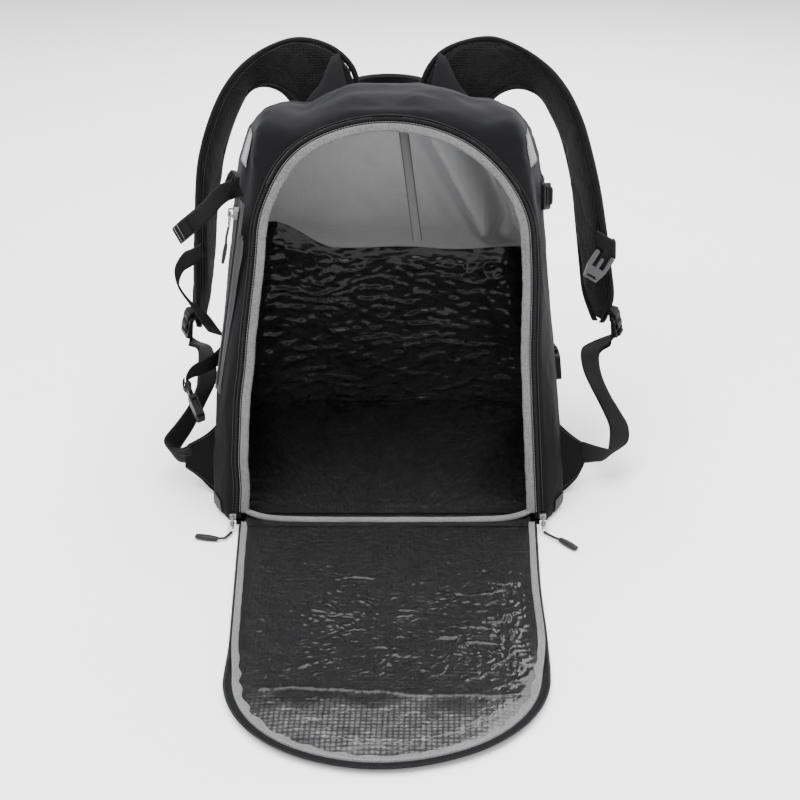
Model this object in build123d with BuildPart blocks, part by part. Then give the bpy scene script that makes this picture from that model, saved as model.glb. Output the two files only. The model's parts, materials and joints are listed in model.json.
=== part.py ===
"""Ski boot bag: a wedge-shaped backpack whose arched front opens forward as a mat.

Millimetres. +Z is up, the opening faces -Y, and +X is to the right as seen from the front.
The origin is on the floor, under the middle of the bag's base.
The flap is drawn open, lying on the floor in front of the bag.
"""

from build123d import *
import os
from math import cos, radians, sin, tan

os.makedirs("parts", exist_ok=True)

# ---- driving dimensions ----------------------------------------------------------------
FRONT_Y = -150.0  # foot of the front face
BACK_Y = 150.0  # outer face of the back
TILT = radians(12)  # lean of the front face
HINGE_Z = 8.0  # height of the front face's foot above the floor
RIM_Z = 408.0  # where the front face meets the top
CREST_Y = -40.0
CREST_Z = 419.0  # highest line of the top panel
TOP_FALL = 41.0 / 190.0  # slope of the top panel towards the back
WALL = 5.0  # padded fabric wall
LINING = 1.2
GAP = 0.3  # air between separate pieces
# height, half width of the front face, largest half width
SECTIONS = [(0, 163, 185), (330, 138, 150), (385, 128, 141), (425, 100, 108)]
CORNER_RUN = 45.0  # front face to the widest line
BACK_CORNER_Y = 112.0

# arch of the opening, in the plane of the front face
ARCH_HALF = 149.0
ARCH_LEAN = radians(3.2)
ARCH_LEG = 280.0
SHOULDER_R = 115.0
SHOULDER_END = radians(65)
BAND = 9.0  # width of the grey binding tape

FLAP_T = 8.1  # thickness of the flap, and height of the hinge axis
AXIS_Y = FRONT_Y - 0.5 * cos(TILT)
HEM_R = 3.6  # radius of the rolled hem that the flap folds about
HINGE_CLEAR = 4.6  # hinge axis to the flap's near edge
WEB = 25.0  # shoulder strap webbing
NARROW_WEB = 20.0  # compression webbing
WEB_T = 1.8
STRAP_T = 11.0  # padded shoulder strap

FACE = Plane(
    origin=(0, FRONT_Y, HINGE_Z), x_dir=(1, 0, 0), z_dir=(0, -cos(TILT), sin(TILT))
)


def finish(part, label):
    """Label a finished piece and write its STEP file."""
    part.label = label
    export_step(part, f"parts/{label}.step")


# ---- outlines --------------------------------------------------------------------------
def face_y(z, inward=0.0):
    """Y of the leaning front face at height z, moved inward along Y."""
    return FRONT_Y + (z - HINGE_Z) * tan(TILT) + inward


def top_z(y, drop=0.0):
    """Z of the sloping top behind its crest."""
    return CREST_Z - (y - CREST_Y) * TOP_FALL - drop


def side_profile(front_in, drop, back_in, floor):
    """Side view of the bag as a closed list of points in the YZ plane."""
    rim = RIM_Z - drop
    back = BACK_Y - back_in
    return [
        (face_y(floor, front_in), floor),
        (face_y(rim, front_in), rim),
        (CREST_Y, CREST_Z - drop),
        (back, top_z(back, drop)),
        (back, floor),
    ]


def bag_solid(shrink, profile):
    """Solid of the bag's outline: a loft of eight-sided sections cut to a side profile."""
    with BuildPart() as solid:
        for z, half_front, half_wide in SECTIONS:
            front = face_y(z)
            step = (half_wide - half_front) / CORNER_RUN
            with BuildSketch(Plane.XY.offset(z)):
                with BuildLine():
                    right = [
                        (half_front - 10 * step - shrink, front - 10),
                        (half_wide - shrink, front + CORNER_RUN),
                        (half_wide - shrink, BACK_CORNER_Y),
                        (half_wide - shrink - 40, BACK_Y + 10),
                    ]
                    left = [(-x, y) for x, y in reversed(right)]
                    Polyline(*right, *left, close=True)
                make_face()
        loft(ruled=True)
        with BuildSketch(Plane.YZ):
            with BuildLine():
                Polyline(*profile, close=True)
            make_face()
        extrude(amount=250, both=True, mode=Mode.INTERSECT)
    return solid.part


def region(points):
    """A wide prism over a YZ polygon, for cutting one panel out of the bag's outline."""
    with BuildPart() as prism:
        with BuildSketch(Plane.YZ):
            with BuildLine():
                Polyline(*points, close=True)
            make_face()
        extrude(amount=250, both=True)
    return prism.part


def arch(grow, foot=0.0):
    """A face shaped like the opening, grown outward, from `foot` upward."""
    lean_c, lean_s = cos(ARCH_LEAN), sin(ARCH_LEAN)
    knee_x = ARCH_HALF - ARCH_LEG * lean_s
    centre_x = knee_x - SHOULDER_R * lean_c
    centre_y = ARCH_LEG * lean_c - SHOULDER_R * lean_s
    crown_r = SHOULDER_R + centre_x / cos(SHOULDER_END)
    crown_y = centre_y - (crown_r - SHOULDER_R) * sin(SHOULDER_END)

    def on_shoulder(angle):
        reach = SHOULDER_R + grow
        return centre_x + reach * cos(angle), centre_y + reach * sin(angle)

    base = (ARCH_HALF + grow / lean_c - foot * tan(ARCH_LEAN), foot)
    knee = on_shoulder(ARCH_LEAN)
    middle = on_shoulder((ARCH_LEAN + SHOULDER_END) / 2)
    end = on_shoulder(SHOULDER_END)
    crown = (0, crown_y + crown_r + grow)

    def flip(point):
        return -point[0], point[1]

    with BuildSketch() as face:
        with BuildLine():
            Line(base, knee)
            ThreePointArc(knee, middle, end)
            ThreePointArc(end, crown, flip(end))
            ThreePointArc(flip(end), flip(middle), flip(knee))
            Line(flip(knee), flip(base))
            Line(flip(base), base)
        make_face()
    return face.sketch


def arch_ring(plane, inner, outer, thickness, foot=0.0):
    """A flat band that follows the opening, between two offsets of its outline."""
    outside, inside = arch(outer, foot), arch(inner, foot - 5)
    with BuildPart() as ring:
        with BuildSketch(plane):
            add(outside)
            add(inside, mode=Mode.SUBTRACT)
        extrude(amount=thickness)
    return ring.part


def ribbon(edges, thickness):
    """Ruled solid of a strap: each entry of `edges` is its two edge points at one station."""
    mids = [(Vector(*a) + Vector(*b)) * 0.5 for a, b in edges]
    with BuildPart() as strap:
        for i, (a, b) in enumerate(edges):
            across = Vector(*b) - Vector(*a)
            along = mids[min(i + 1, len(mids) - 1)] - mids[max(i - 1, 0)]
            unit = across.normalized()
            along = along - unit * along.dot(unit)
            with BuildSketch(Plane(origin=mids[i], x_dir=across, z_dir=along)):
                Rectangle(across.length, thickness)
        loft(ruled=True)
    return strap.part


# ---- shell -----------------------------------------------------------------------------
outer_solid = bag_solid(0, side_profile(0, 0, 0, 0))
inner_profile = side_profile(WALL / cos(TILT), WALL, WALL, WALL)
inner_solid = bag_solid(WALL, side_profile(-20, WALL, WALL, WALL))
rim_in = (face_y(RIM_Z - WALL, WALL / cos(TILT)), RIM_Z - WALL)
back_in = BACK_Y - WALL
HIGH, FAR = 440.0, 200.0
front_line = [(face_y(-1, WALL / cos(TILT)), -1), (face_y(HIGH, WALL / cos(TILT)), HIGH)]

TEETH_IN, TEETH_OUT = 2.4, 4.8  # body half of the zip chain, outward from the arch

front_zone = region([(-200, -1), *front_line, (-200, HIGH)])
frame_hole = arch(TEETH_OUT + 0.2, -30)
with BuildPart() as front_frame:
    add(outer_solid)
    add(front_zone, mode=Mode.INTERSECT)
    with BuildSketch(FACE.offset(-20)):
        add(frame_hole)
    extrude(amount=40, mode=Mode.SUBTRACT)
finish(front_frame.part, "front_frame")

base_zone = region([front_line[0], (face_y(WALL, WALL / cos(TILT)), WALL), (FAR, WALL), (FAR, -1)])
with BuildPart() as base_panel:
    add(outer_solid)
    add(base_zone, mode=Mode.INTERSECT)
finish(base_panel.part, "base_panel")

back_top = top_z(back_in, WALL)
back_zone = region([(back_in, WALL), (FAR, WALL), (FAR, back_top), (back_in, back_top)])
with BuildPart() as back_panel:
    add(outer_solid)
    add(back_zone, mode=Mode.INTERSECT)
finish(back_panel.part, "back_panel")

crest_in = (CREST_Y, CREST_Z - WALL)
top_zone = region([rim_in, crest_in, (back_in, back_top), (FAR, back_top), (FAR, HIGH), front_line[1]])
with BuildPart() as top_panel:
    add(outer_solid)
    add(top_zone, mode=Mode.INTERSECT)
finish(top_panel.part, "top_panel")

side_zone = region(inner_profile)
for side, side_name in ((-1, "left"), (1, "right")):
    with BuildPart() as side_panel:
        add(outer_solid)
        add(side_zone, mode=Mode.INTERSECT)
        add(inner_solid, mode=Mode.SUBTRACT)
        split(bisect_by=Plane.YZ, keep=Keep.TOP if side > 0 else Keep.BOTTOM)
    finish(side_panel.part, f"{side_name}_side_panel")

# ---- stiffeners and linings ------------------------------------------------------------
BOARD_T = 2.7
with BuildPart() as base_board:
    with BuildSketch(Plane.XY.offset(WALL + GAP)):
        RectangleRounded(2 * 148, 276, 20)
    extrude(amount=BOARD_T)
finish(base_board.part, "base_board")

FOAM_T = 8.0
with BuildPart() as back_foam:
    with BuildSketch(Plane.XZ.offset(-(back_in - GAP))):
        with BuildLine():
            Polyline((-138, 12), (138, 12), (102, 352), (-102, 352), close=True)
        make_face()
        fillet(vertices(), radius=14)
    extrude(amount=FOAM_T)
finish(back_foam.part, "back_foam")

LINING_SHRINK = WALL + GAP + 0.2
lining_out = side_profile(WALL / cos(TILT) + GAP, WALL + 0.6, WALL + FOAM_T + 2 * GAP, 8.3)
lining_in = side_profile(-20, WALL + 0.6 + LINING, WALL + FOAM_T + 2 * GAP + LINING, 8.3 + LINING)
outer_lining = bag_solid(LINING_SHRINK, lining_out)
inner_lining = bag_solid(LINING_SHRINK + LINING, lining_in)
# the two linings meet on a seam that rises towards the front
SEAM_PLANE = Plane(origin=(0, BACK_Y, 208), x_dir=(1, 0, 0), z_dir=(0, 0.35, 1))
for keep_side, lining_name in ((Keep.BOTTOM, "lower_lining"), (Keep.TOP, "upper_lining")):
    with BuildPart() as lining:
        add(outer_lining)
        add(inner_lining, mode=Mode.SUBTRACT)
        split(bisect_by=SEAM_PLANE, keep=keep_side)
    finish(lining.part, lining_name)

LINING_BACK_Y = BACK_Y - (WALL + FOAM_T + 2 * GAP + LINING)
with BuildPart() as lining_seam_tape:
    with Locations((22.7, LINING_BACK_Y - 0.2 - 0.5, 290)):
        Box(17, 1.0, 120)
finish(lining_seam_tape.part, "lining_seam_tape")

# ---- rim of the opening ----------------------------------------------------------------
opening_binding = arch_ring(FACE.offset(-WALL), -BAND, 0, WALL - 0.6, 5)
finish(opening_binding, "opening_binding")
body_zip_tape = arch_ring(FACE.offset(-3.2), GAP, TEETH_OUT, 1.6)
finish(body_zip_tape, "body_zip_tape")
body_zip_teeth = arch_ring(FACE.offset(-1.5), TEETH_IN, TEETH_OUT, 2.2)
finish(body_zip_teeth, "body_zip_teeth")

with BuildPart() as hinge_binding:
    with BuildSketch(Plane(origin=(-144, AXIS_Y, FLAP_T), z_dir=(1, 0, 0))):
        Circle(HEM_R)
    extrude(amount=288)
finish(hinge_binding.part, "hinge_binding")

# ---- flap, lying open ------------------------------------------------------------------
def flap_plane(z):
    """Plane of one layer of the open flap: its local Y runs away from the bag, and it faces down."""
    return Plane(origin=(0, AXIS_Y, z), x_dir=(1, 0, 0), z_dir=(0, 0, -1))


def flap_layer(grow, top, bottom, label):
    """One full layer of the flap between two heights."""
    outline = arch(grow, HINGE_CLEAR)
    with BuildPart() as layer:
        with BuildSketch(flap_plane(top)):
            add(outline)
        extrude(amount=top - bottom)
    finish(layer.part, label)


SHELL_TOP, PAD_TOP = 2.5, 6.4
BAND_EDGE = -4.0
flap_layer(-1.0, SHELL_TOP, 0.0, "flap_shell")
flap_layer(-6.5, PAD_TOP, SHELL_TOP + 0.05, "flap_foam")
flap_layer(BAND_EDGE - BAND - 0.2, FLAP_T - 0.4, PAD_TOP + 0.1, "flap_lining")
flap_binding = arch_ring(flap_plane(FLAP_T), BAND_EDGE - BAND, BAND_EDGE, 1.6, HINGE_CLEAR)
finish(flap_binding, "flap_binding")
flap_zip_tape = arch_ring(flap_plane(PAD_TOP), -6.2, -0.6, 1.2, HINGE_CLEAR)
finish(flap_zip_tape, "flap_zip_tape")
flap_zip_teeth = arch_ring(flap_plane(FLAP_T - 0.1), -0.4, 2.0, 2.4, HINGE_CLEAR)
finish(flap_zip_teeth, "flap_zip_teeth")

# ---- grey corner patches ---------------------------------------------------------------
def corner_patch(side, low, high, run):
    """A thin plate on the slanted corner between the front face and the side wall."""
    first, second = SECTIONS[1:3] if low > SECTIONS[1][0] else SECTIONS[0:2]

    def edge(z):
        rise = (z - first[0]) / (second[0] - first[0])
        half_front = first[1] + rise * (second[1] - first[1])
        half_wide = first[2] + rise * (second[2] - first[2])
        return Vector(side * half_front, face_y(z), z), Vector(side * half_wide, face_y(z) + CORNER_RUN, z)

    near, far = edge(low)
    near_up, far_up = edge(high)
    across = (far - near).normalized()
    up = near_up - near
    normal = across.cross(up) * side
    out = Plane(origin=(near + far + near_up + far_up) * 0.25, x_dir=across, z_dir=normal)
    with BuildPart() as patch:
        with BuildSketch(out.offset(0.8)):
            RectangleRounded(run, high - low, 4)
        extrude(amount=1.0)
    return patch.part


patches = [corner_patch(side, 2, 18, 34) for side in (-1, 1)]
patches += [corner_patch(side, 350, 382, 26) for side in (-1, 1)]
with BuildPart() as corner_patches:
    for patch in patches:
        add(patch)
finish(corner_patches.part, "corner_patches")

# ---- side pocket zip on the left front corner -----------------------------------------------
WALL_LEAN = (SECTIONS[0][2] - SECTIONS[1][2]) / SECTIONS[1][0]


def wall_plane(side, y, z, stand_off):
    """Plane on a side wall: local X runs to the back, local Y runs up, normal points outward."""
    x = side * (SECTIONS[0][2] - WALL_LEAN * z)
    normal = Vector(side, 0, WALL_LEAN).normalized()
    foot = Vector(x, y, z) + normal * stand_off
    return Plane(origin=foot, x_dir=(0, side, 0), z_dir=normal)


POCKET_Y, POCKET_LOW, POCKET_HIGH = -81.0, 120.0, 322.0
POCKET_LEN = POCKET_HIGH - POCKET_LOW
POCKET_UP = Vector(0.164, 0, 1).normalized()  # the zip rises straight up the slanted corner
POCKET_ACROSS = Vector(-0.326, 0.945, 0).normalized()
POCKET_OUT = POCKET_UP.cross(POCKET_ACROSS).normalized()
POCKET_MID = Vector(-155.0, POCKET_Y, (POCKET_LOW + POCKET_HIGH) / 2 - 3)


def pocket_plane(up, stand_off):
    """Plane on the left front corner: local Y runs up the pocket zip, the normal points outward."""
    foot = POCKET_MID + POCKET_UP * up + POCKET_OUT * stand_off
    return Plane(origin=foot, x_dir=-POCKET_ACROSS, z_dir=POCKET_OUT)


with BuildPart() as pocket_zip_tape:
    with BuildSketch(pocket_plane(0, 1.5)):
        RectangleRounded(22, POCKET_LEN, 5)
    extrude(amount=1.2)
finish(pocket_zip_tape.part, "pocket_zip_tape")

with BuildPart() as pocket_zip_teeth:
    with BuildSketch(pocket_plane(0, 2.8)):
        Rectangle(4.4, POCKET_LEN - 12)
    extrude(amount=1.4)
finish(pocket_zip_teeth.part, "pocket_zip_teeth")

# ---- zip sliders and pulls -------------------------------------------------------------
SLIDER_W, SLIDER_L, SLIDER_T = 6.4, 13.0, 4.4
BRIDGE_N = 7.6  # slider's underside to the pin of the pull ring
RING_W = 7.6


def zip_slider(plane, label):
    """A slider lying on `plane`: a tapered body with a bridge that holds the pull ring."""
    with BuildPart() as slider:
        with BuildSketch(plane):
            with BuildLine():
                half, low = SLIDER_W / 2, SLIDER_W / 2 - 1.2
                Polyline(
                    (-low, -SLIDER_L / 2),
                    (low, -SLIDER_L / 2),
                    (half, 2),
                    (half, SLIDER_L / 2),
                    (-half, SLIDER_L / 2),
                    (-half, 2),
                    close=True,
                )
            make_face()
        extrude(amount=SLIDER_T)
        with BuildSketch(Plane(origin=plane.origin, x_dir=plane.y_dir, z_dir=plane.x_dir).offset(-1.1)):
            with BuildLine():
                Polyline((-4.6, SLIDER_T - 0.5), (4.6, SLIDER_T - 0.5), (4.0, 9.6), (-4.0, 9.6), close=True)
            make_face()
            with BuildLine():
                Polyline((-2.7, SLIDER_T), (2.7, SLIDER_T), (2.5, 8.4), (-2.5, 8.4), close=True)
            make_face(mode=Mode.SUBTRACT)
        extrude(amount=2.2)
    finish(slider.part, label)


def pull_ring(pin, along, across, length, label):
    """A flat wire loop that hangs on its pin at `pin` and runs off in direction `along`."""
    normal = Vector(*across).cross(Vector(*along))
    frame = Plane(origin=pin, x_dir=across, z_dir=normal)
    reach = 1 if frame.y_dir.dot(Vector(*along)) > 0 else -1
    wire = 1.3
    with BuildPart() as ring:
        with BuildSketch(frame.offset(-wire / 2)):
            with Locations((0, reach * (length / 2 - wire / 2))):
                RectangleRounded(RING_W, length, 1.6)
                RectangleRounded(RING_W - 2 * wire, length - 2 * wire, 1.0, mode=Mode.SUBTRACT)
        extrude(amount=wire)
    finish(ring.part, label)


def puller(points, cord_r, grip_w, grip_t, label):
    """A cord pull: a round cord through the points, then a flat moulded grip on the last run."""
    with BuildPart() as pull:
        with BuildLine() as route:
            FilletPolyline(*points[:-1], radius=cord_r * 2.2)
        start = route.wires()[0] @ 0
        heading = route.wires()[0] % 0
        with BuildSketch(Plane(origin=start, z_dir=heading)):
            Circle(cord_r)
        sweep(path=route.wires()[0])
        tip, root = Vector(*points[-1]), Vector(*points[-2])
        run = tip - root
        with BuildSketch(Plane(origin=root - run.normalized() * 2, x_dir=(0, 0, 1), z_dir=run)):
            RectangleRounded(grip_t * 0.8, grip_w * 0.7, grip_t * 0.3)
        with BuildSketch(Plane(origin=root + run * 0.45, x_dir=(0, 0, 1), z_dir=run)):
            RectangleRounded(grip_t, grip_w, grip_t * 0.4)
        with BuildSketch(Plane(origin=tip, x_dir=(0, 0, 1), z_dir=run)):
            RectangleRounded(grip_t * 0.7, grip_w * 0.8, grip_t * 0.25)
        loft()
    finish(pull.part, label)


SLIDER_OUT = TEETH_IN + SLIDER_W / 2 + 0.9  # slider's centre line, outward from the arch
SLIDER_LIFT = 1.2
for side, side_name in ((-1, "left"), (1, "right")):
    centre_x = side * (ARCH_HALF + SLIDER_OUT)
    leg_dir = Vector(0, 1, 0).rotate(Axis.Z, side * 3.2)
    track = Plane(
        origin=FACE.from_local_coords(Vector(centre_x, 0, SLIDER_LIFT)),
        x_dir=FACE.from_local_coords(Vector(leg_dir.Y, -leg_dir.X, 0)) - FACE.origin,
        z_dir=FACE.z_dir,
    )
    zip_slider(track, f"{side_name}_slider")
    pin = track.origin + track.z_dir * (BRIDGE_N - SLIDER_LIFT + 0.2)
    fall = Vector(0, -cos(radians(32)), -sin(radians(32)))
    pull_ring(pin, fall, (1, 0, 0), 12.5, f"{side_name}_pull_ring")
    end = pin + fall * 12.6
    if side < 0:
        route = [(end.X, end.Y - 0.6, end.Z), (-161, end.Y - 13, 3.2), (-170, end.Y - 14, 3.2)]
        tip = (-190, end.Y - 9, 3.4)
    else:
        route = [(end.X, end.Y - 0.6, end.Z), (165, end.Y - 12, 3.2), (171, end.Y - 17, 3.2)]
        tip = (184, end.Y - 34, 3.4)
    puller([*route, tip], 1.3, 6.6, 5.0, f"{side_name}_puller")

pocket_track = pocket_plane(POCKET_LEN / 2 - 12, 4.5)
zip_slider(pocket_track, "pocket_slider")
pocket_pin = pocket_track.origin + POCKET_OUT * (BRIDGE_N - 0.4)
pull_ring(pocket_pin, -POCKET_UP, POCKET_ACROSS, 14, "pocket_pull_ring")
hang = pocket_pin - POCKET_UP * 14.4
route = [
    hang,
    hang - POCKET_UP * 11 + POCKET_OUT * 1.0,
    hang - POCKET_UP * 20 + POCKET_OUT * 0.5,
    hang - POCKET_UP * 38 + POCKET_OUT * 1.5,
]
puller(route, 1.2, 5.0, 4.0, "pocket_puller")

# ---- back, handle ----------------------------------------------------------------------
PAD_T = 12.0
STRAP_Y = BACK_Y + 8.0
for side, side_name in ((-1, "left"), (1, "right")):
    with BuildPart() as back_pad:
        with BuildSketch(Plane.XZ.offset(-(BACK_Y + GAP + PAD_T))):
            with BuildLine():
                Polyline(
                    (side * 18, 34),
                    (side * 118, 34),
                    (side * 100, 322),
                    (side * 18, 322),
                    close=True,
                )
            make_face()
            fillet(vertices(), radius=12)
        extrude(amount=PAD_T)
        fillet(faces().sort_by(Axis.Y)[-1].edges(), radius=4)
    finish(back_pad.part, f"{side_name}_back_pad")

HANDLE_BOW, HANDLE_T = 24.0, 3.0
with BuildPart() as haul_handle:
    with BuildSketch(Plane.XY.offset(358)):
        with BuildLine():
            low = STRAP_Y + STRAP_T / 2 + GAP
            Polyline((-62, low), (-36, low))
            ThreePointArc((-36, low), (0, low + HANDLE_BOW), (36, low))
            Polyline((36, low), (62, low), (62, low + HANDLE_T), (38, low + HANDLE_T))
            ThreePointArc((38, low + HANDLE_T), (0, low + HANDLE_BOW + HANDLE_T), (-38, low + HANDLE_T))
            Polyline((-38, low + HANDLE_T), (-62, low + HANDLE_T), (-62, low))
        make_face()
    extrude(amount=NARROW_WEB + 6)
finish(haul_handle.part, "haul_handle")

# ---- shoulder straps -------------------------------------------------------------------
LEFT_STRAP = [
    ((-30, STRAP_Y, 366), (-102, STRAP_Y, 345)),
    ((-38, STRAP_Y, 398), (-105, STRAP_Y, 356)),
    ((-62, 157, 421), (-117, 159, 370)),
    ((-97, 155, 430), (-132, 161, 376)),
    ((-130, 150, 421), (-146, 166, 374)),
    ((-157, 143, 403), (-158, 173, 365)),
    ((-178, 137, 378), (-168, 178, 348)),
    ((-194, 132, 345), (-178, 182, 325)),
    ((-206, 128, 306), (-188, 184, 295)),
    ((-211, 125, 270), (-195, 183, 262)),
    ((-213, 118, 226), (-201, 177, 222)),
    ((-214, 108, 180), (-205, 167, 176)),
    ((-215, 100, 145), (-209, 148, 141)),
    ((-216, 106, 122), (-212, 134, 119)),
]
RIGHT_STRAP = [
    ((30, STRAP_Y, 366), (102, STRAP_Y, 345)),
    ((42, STRAP_Y, 398), (110, STRAP_Y, 358)),
    ((64, 157, 420), (122, 159, 369)),
    ((105, 155, 431), (138, 161, 374)),
    ((137, 150, 423), (154, 166, 371)),
    ((168, 143, 404), (169, 173, 361)),
    ((191, 137, 379), (181, 178, 342)),
    ((209, 132, 345), (193, 182, 318)),
    ((221, 128, 308), (202, 184, 290)),
    ((231, 125, 270), (210, 183, 255)),
    ((238, 118, 233), (215, 177, 216)),
    ((246, 110, 185), (219, 160, 176)),
    ((250, 103, 152), (222, 144, 146)),
    ((244, 105, 128), (230, 132, 124)),
]
for side, side_name, edges in ((-1, "left", LEFT_STRAP), (1, "right", RIGHT_STRAP)):
    finish(ribbon(edges, STRAP_T), f"{side_name}_shoulder_strap")
    with BuildPart() as root_patch:
        with BuildSketch(Plane.XZ.offset(-(STRAP_Y - STRAP_T / 2 - 3 * GAP))):
            with BuildLine():
                Polyline(
                    (side * 60, 405),
                    (side * 75, 391),
                    (side * 94, 357),
                    (side * 38, 372),
                    (side * 42, 388),
                    close=True,
                )
            make_face()
        extrude(amount=1.0)
    finish(root_patch.part, f"{side_name}_root_patch")


# ---- buckle hardware -------------------------------------------------------------------
def ladder_lock(plane, web, label):
    """A three-bar webbing adjuster that lies on `plane`, with its bars along local X."""
    width, height, thick = web + 8, web * 0.95, 4.0
    slot = height * 0.2
    with BuildPart() as lock:
        with BuildSketch(plane):
            RectangleRounded(width, height, 3)
            with Locations((0, height * 0.23), (0, -height * 0.23)):
                RectangleRounded(web + 1.5, slot, slot * 0.4, mode=Mode.SUBTRACT)
        extrude(amount=thick)
        with BuildSketch(plane.offset(thick - 0.2)):
            with Locations((0, -height * 0.44)):
                Rectangle(web * 0.7, height * 0.12)
        extrude(amount=2.4)
    finish(lock.part, label)


def release_buckle(plane, side_name):
    """A side-release buckle on `plane`: the socket, and the prongs that slide out along local +X."""
    long, wide, thick, skin = 26.0, 27.0, 8.4, 1.8
    with BuildPart() as socket:
        with BuildSketch(plane):
            RectangleRounded(long, wide, 3.5)
        extrude(amount=thick)
        with BuildSketch(plane.offset(skin)):
            with Locations((5, 0)):
                Rectangle(long, wide - 2 * skin)
        extrude(amount=thick - 2 * skin, mode=Mode.SUBTRACT)
        with BuildSketch(plane.offset(-1)):
            with Locations((-long / 2 + 3.2, 0)):
                Rectangle(2.6, NARROW_WEB + 1)
        extrude(amount=thick + 2, mode=Mode.SUBTRACT)
        with BuildSketch(plane.offset(skin)):
            with Locations((2, 0)):
                Rectangle(11, wide + 4)
        extrude(amount=thick - 2 * skin, mode=Mode.SUBTRACT)
    finish(socket.part, f"{side_name}_buckle_socket")
    core = thick - 2 * skin - 2 * GAP
    with BuildPart() as prongs:
        with BuildSketch(plane.offset(skin + GAP)):
            with Locations((long / 2 + 7.5, 0)):
                RectangleRounded(13, wide, 2.5)
                RectangleRounded(2.8, NARROW_WEB + 1, 1.2, mode=Mode.SUBTRACT)
            for hand in (-1, 1):
                with Locations((long / 2 - 7, hand * (wide / 2 - skin - 3.2))):
                    Rectangle(19, 4.2)
            with Locations((long / 2 - 6, 0)):
                Rectangle(17, 3.0)
        extrude(amount=core)
    finish(prongs.part, f"{side_name}_buckle_prongs")


LOCK_LEFT = Plane(origin=(-226, 104, 119), x_dir=(-0.35, 1, 0), z_dir=(-1, -0.35, 0.25))
LOCK_RIGHT = Plane(origin=(254, 101, 121), x_dir=(0.35, 1, 0), z_dir=(1, -0.35, 0.25))
ladder_lock(LOCK_LEFT, WEB, "left_ladder_lock")
ladder_lock(LOCK_RIGHT, WEB, "right_ladder_lock")

LEFT_WEBBING = [
    ((-225, 88, 103), (-217, 110, 97)),
    ((-212, 66, 107), (-200, 88, 99)),
    ((-208, 40, 102), (-192, 58, 92)),
    ((-207, 14, 88), (-189, 30, 82)),
    ((-214, -10, 72), (-198, 6, 66)),
    ((-226, -26, 58), (-210, -16, 46)),
    ((-238, -40, 46), (-224, -34, 28)),
]
RIGHT_WEBBING = [
    ((247, 84, 104), (227, 92, 103)),
    ((233, 66, 101), (214, 74, 100)),
    ((233, 42, 87), (214, 48, 87)),
    ((240, 14, 74), (222, 20, 74)),
    ((249, -8, 63), (231, -2, 60)),
    ((256, -26, 53), (236, -22, 50)),
    ((254, -42, 42), (234, -40, 38)),
    ((240, -56, 36), (222, -54, 32)),
]
finish(ribbon(LEFT_WEBBING, 2 * WEB_T), "left_lower_webbing")
finish(ribbon(RIGHT_WEBBING, 2 * WEB_T), "right_lower_webbing")

WING_T = 3.0
for side, side_name, tip_x, tip_z in ((-1, "left", 214, 33), (1, "right", 206, 36)):
    wing_edges = [
        ((side * 186, -78, 3), (side * 181.5, -52, 66)),
        ((side * 198, -72, 14), (side * 193, -54, 56)),
        ((side * tip_x, -63, tip_z - 8), (side * (tip_x - 3), -58, tip_z + 12)),
    ]
    finish(ribbon(wing_edges, WING_T), f"{side_name}_wing")

# ---- sternum hardware on the shoulder straps -------------------------------------------
# the left half hangs free from its loop, turning as it falls
HANGING_END = [
    ((-237, 95, 189), (-231, 85, 171)),
    ((-233, 84, 171), (-219, 80, 156)),
    ((-220, 78, 152), (-202, 78, 143)),
    ((-208, 75, 133), (-190, 77, 126)),
    ((-200, 73, 123), (-183, 76, 116)),
]

for side, side_name, x, z in ((-1, "left", 222, 190), (1, "right", 243, 205)):
    loop_edges = [
        ((side * (x - 10), 104, z + 22), (side * (x - 10), 96, z + 4)),
        ((side * (x + 6), 104, z + 14), (side * (x + 6), 96, z - 6)),
    ]
    if side == -1:
        loop_edges += HANGING_END
    finish(ribbon(loop_edges, 2.4), f"{side_name}_sternum_webbing")

with BuildPart() as sternum_buckle:
    plate = Plane(origin=(226, 93, 186), x_dir=(0.86, 0, -0.5), z_dir=(0, -1, 0))
    with BuildSketch(plate):
        with BuildLine():
            Polyline((-8, -9), (8, -9), (12, 6), (-12, 6), close=True)
        make_face()
        with Locations((0, -5)):
            Rectangle(12, 2.6, mode=Mode.SUBTRACT)
        with Locations((-9.5, 14), (9.5, 14)):
            RectangleRounded(4.4, 20, 2)
        with Locations((0, 11)):
            RectangleRounded(3.4, 14, 1.6)
    extrude(amount=4.4)
finish(sternum_buckle.part, "sternum_buckle")

# ---- compression straps on the side walls ----------------------------------------------
UPPER_Z, LOWER_Z = 312.0, 116.0
for side, side_name in ((-1, "left"), (1, "right")):
    start_y = -26.0
    if side < 0:
        start_y = -12.0
    with BuildPart() as upper_strap:
        with BuildSketch(wall_plane(side, (start_y + 108) / 2, UPPER_Z, 0.4)):
            Rectangle(108 - start_y, NARROW_WEB)
        extrude(amount=WEB_T)
    finish(upper_strap.part, f"{side_name}_upper_strap")
    with BuildPart() as lower_strap:
        with BuildSketch(wall_plane(side, 68, LOWER_Z, 0.4)):
            Rectangle(80, NARROW_WEB)
        extrude(amount=WEB_T)
    finish(lower_strap.part, f"{side_name}_lower_strap")

UPPER_LOCK_LEFT = Plane(origin=(-150, -62, 328), x_dir=(0.4, -0.15, 1), z_dir=(-1, -0.5, 0.35))
UPPER_LOCK_RIGHT = Plane(origin=(154, -48, 313), x_dir=(0, 0.2, 1), z_dir=(1, -0.5, 0.1))
UPPER_WEB = 18.0
ladder_lock(UPPER_LOCK_LEFT, UPPER_WEB, "left_upper_lock")
ladder_lock(UPPER_LOCK_RIGHT, UPPER_WEB, "right_upper_lock")
TAIL = [
    ((-168, -64, 326), (-160, -62, 309)),
    ((-184, -57, 308), (-176, -55, 291)),
    ((-207, -47, 287), (-199, -45, 269)),
    ((-215, -45, 279), (-207, -43, 262)),
]
finish(ribbon(TAIL, 2.4), "left_strap_tail")

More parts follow.
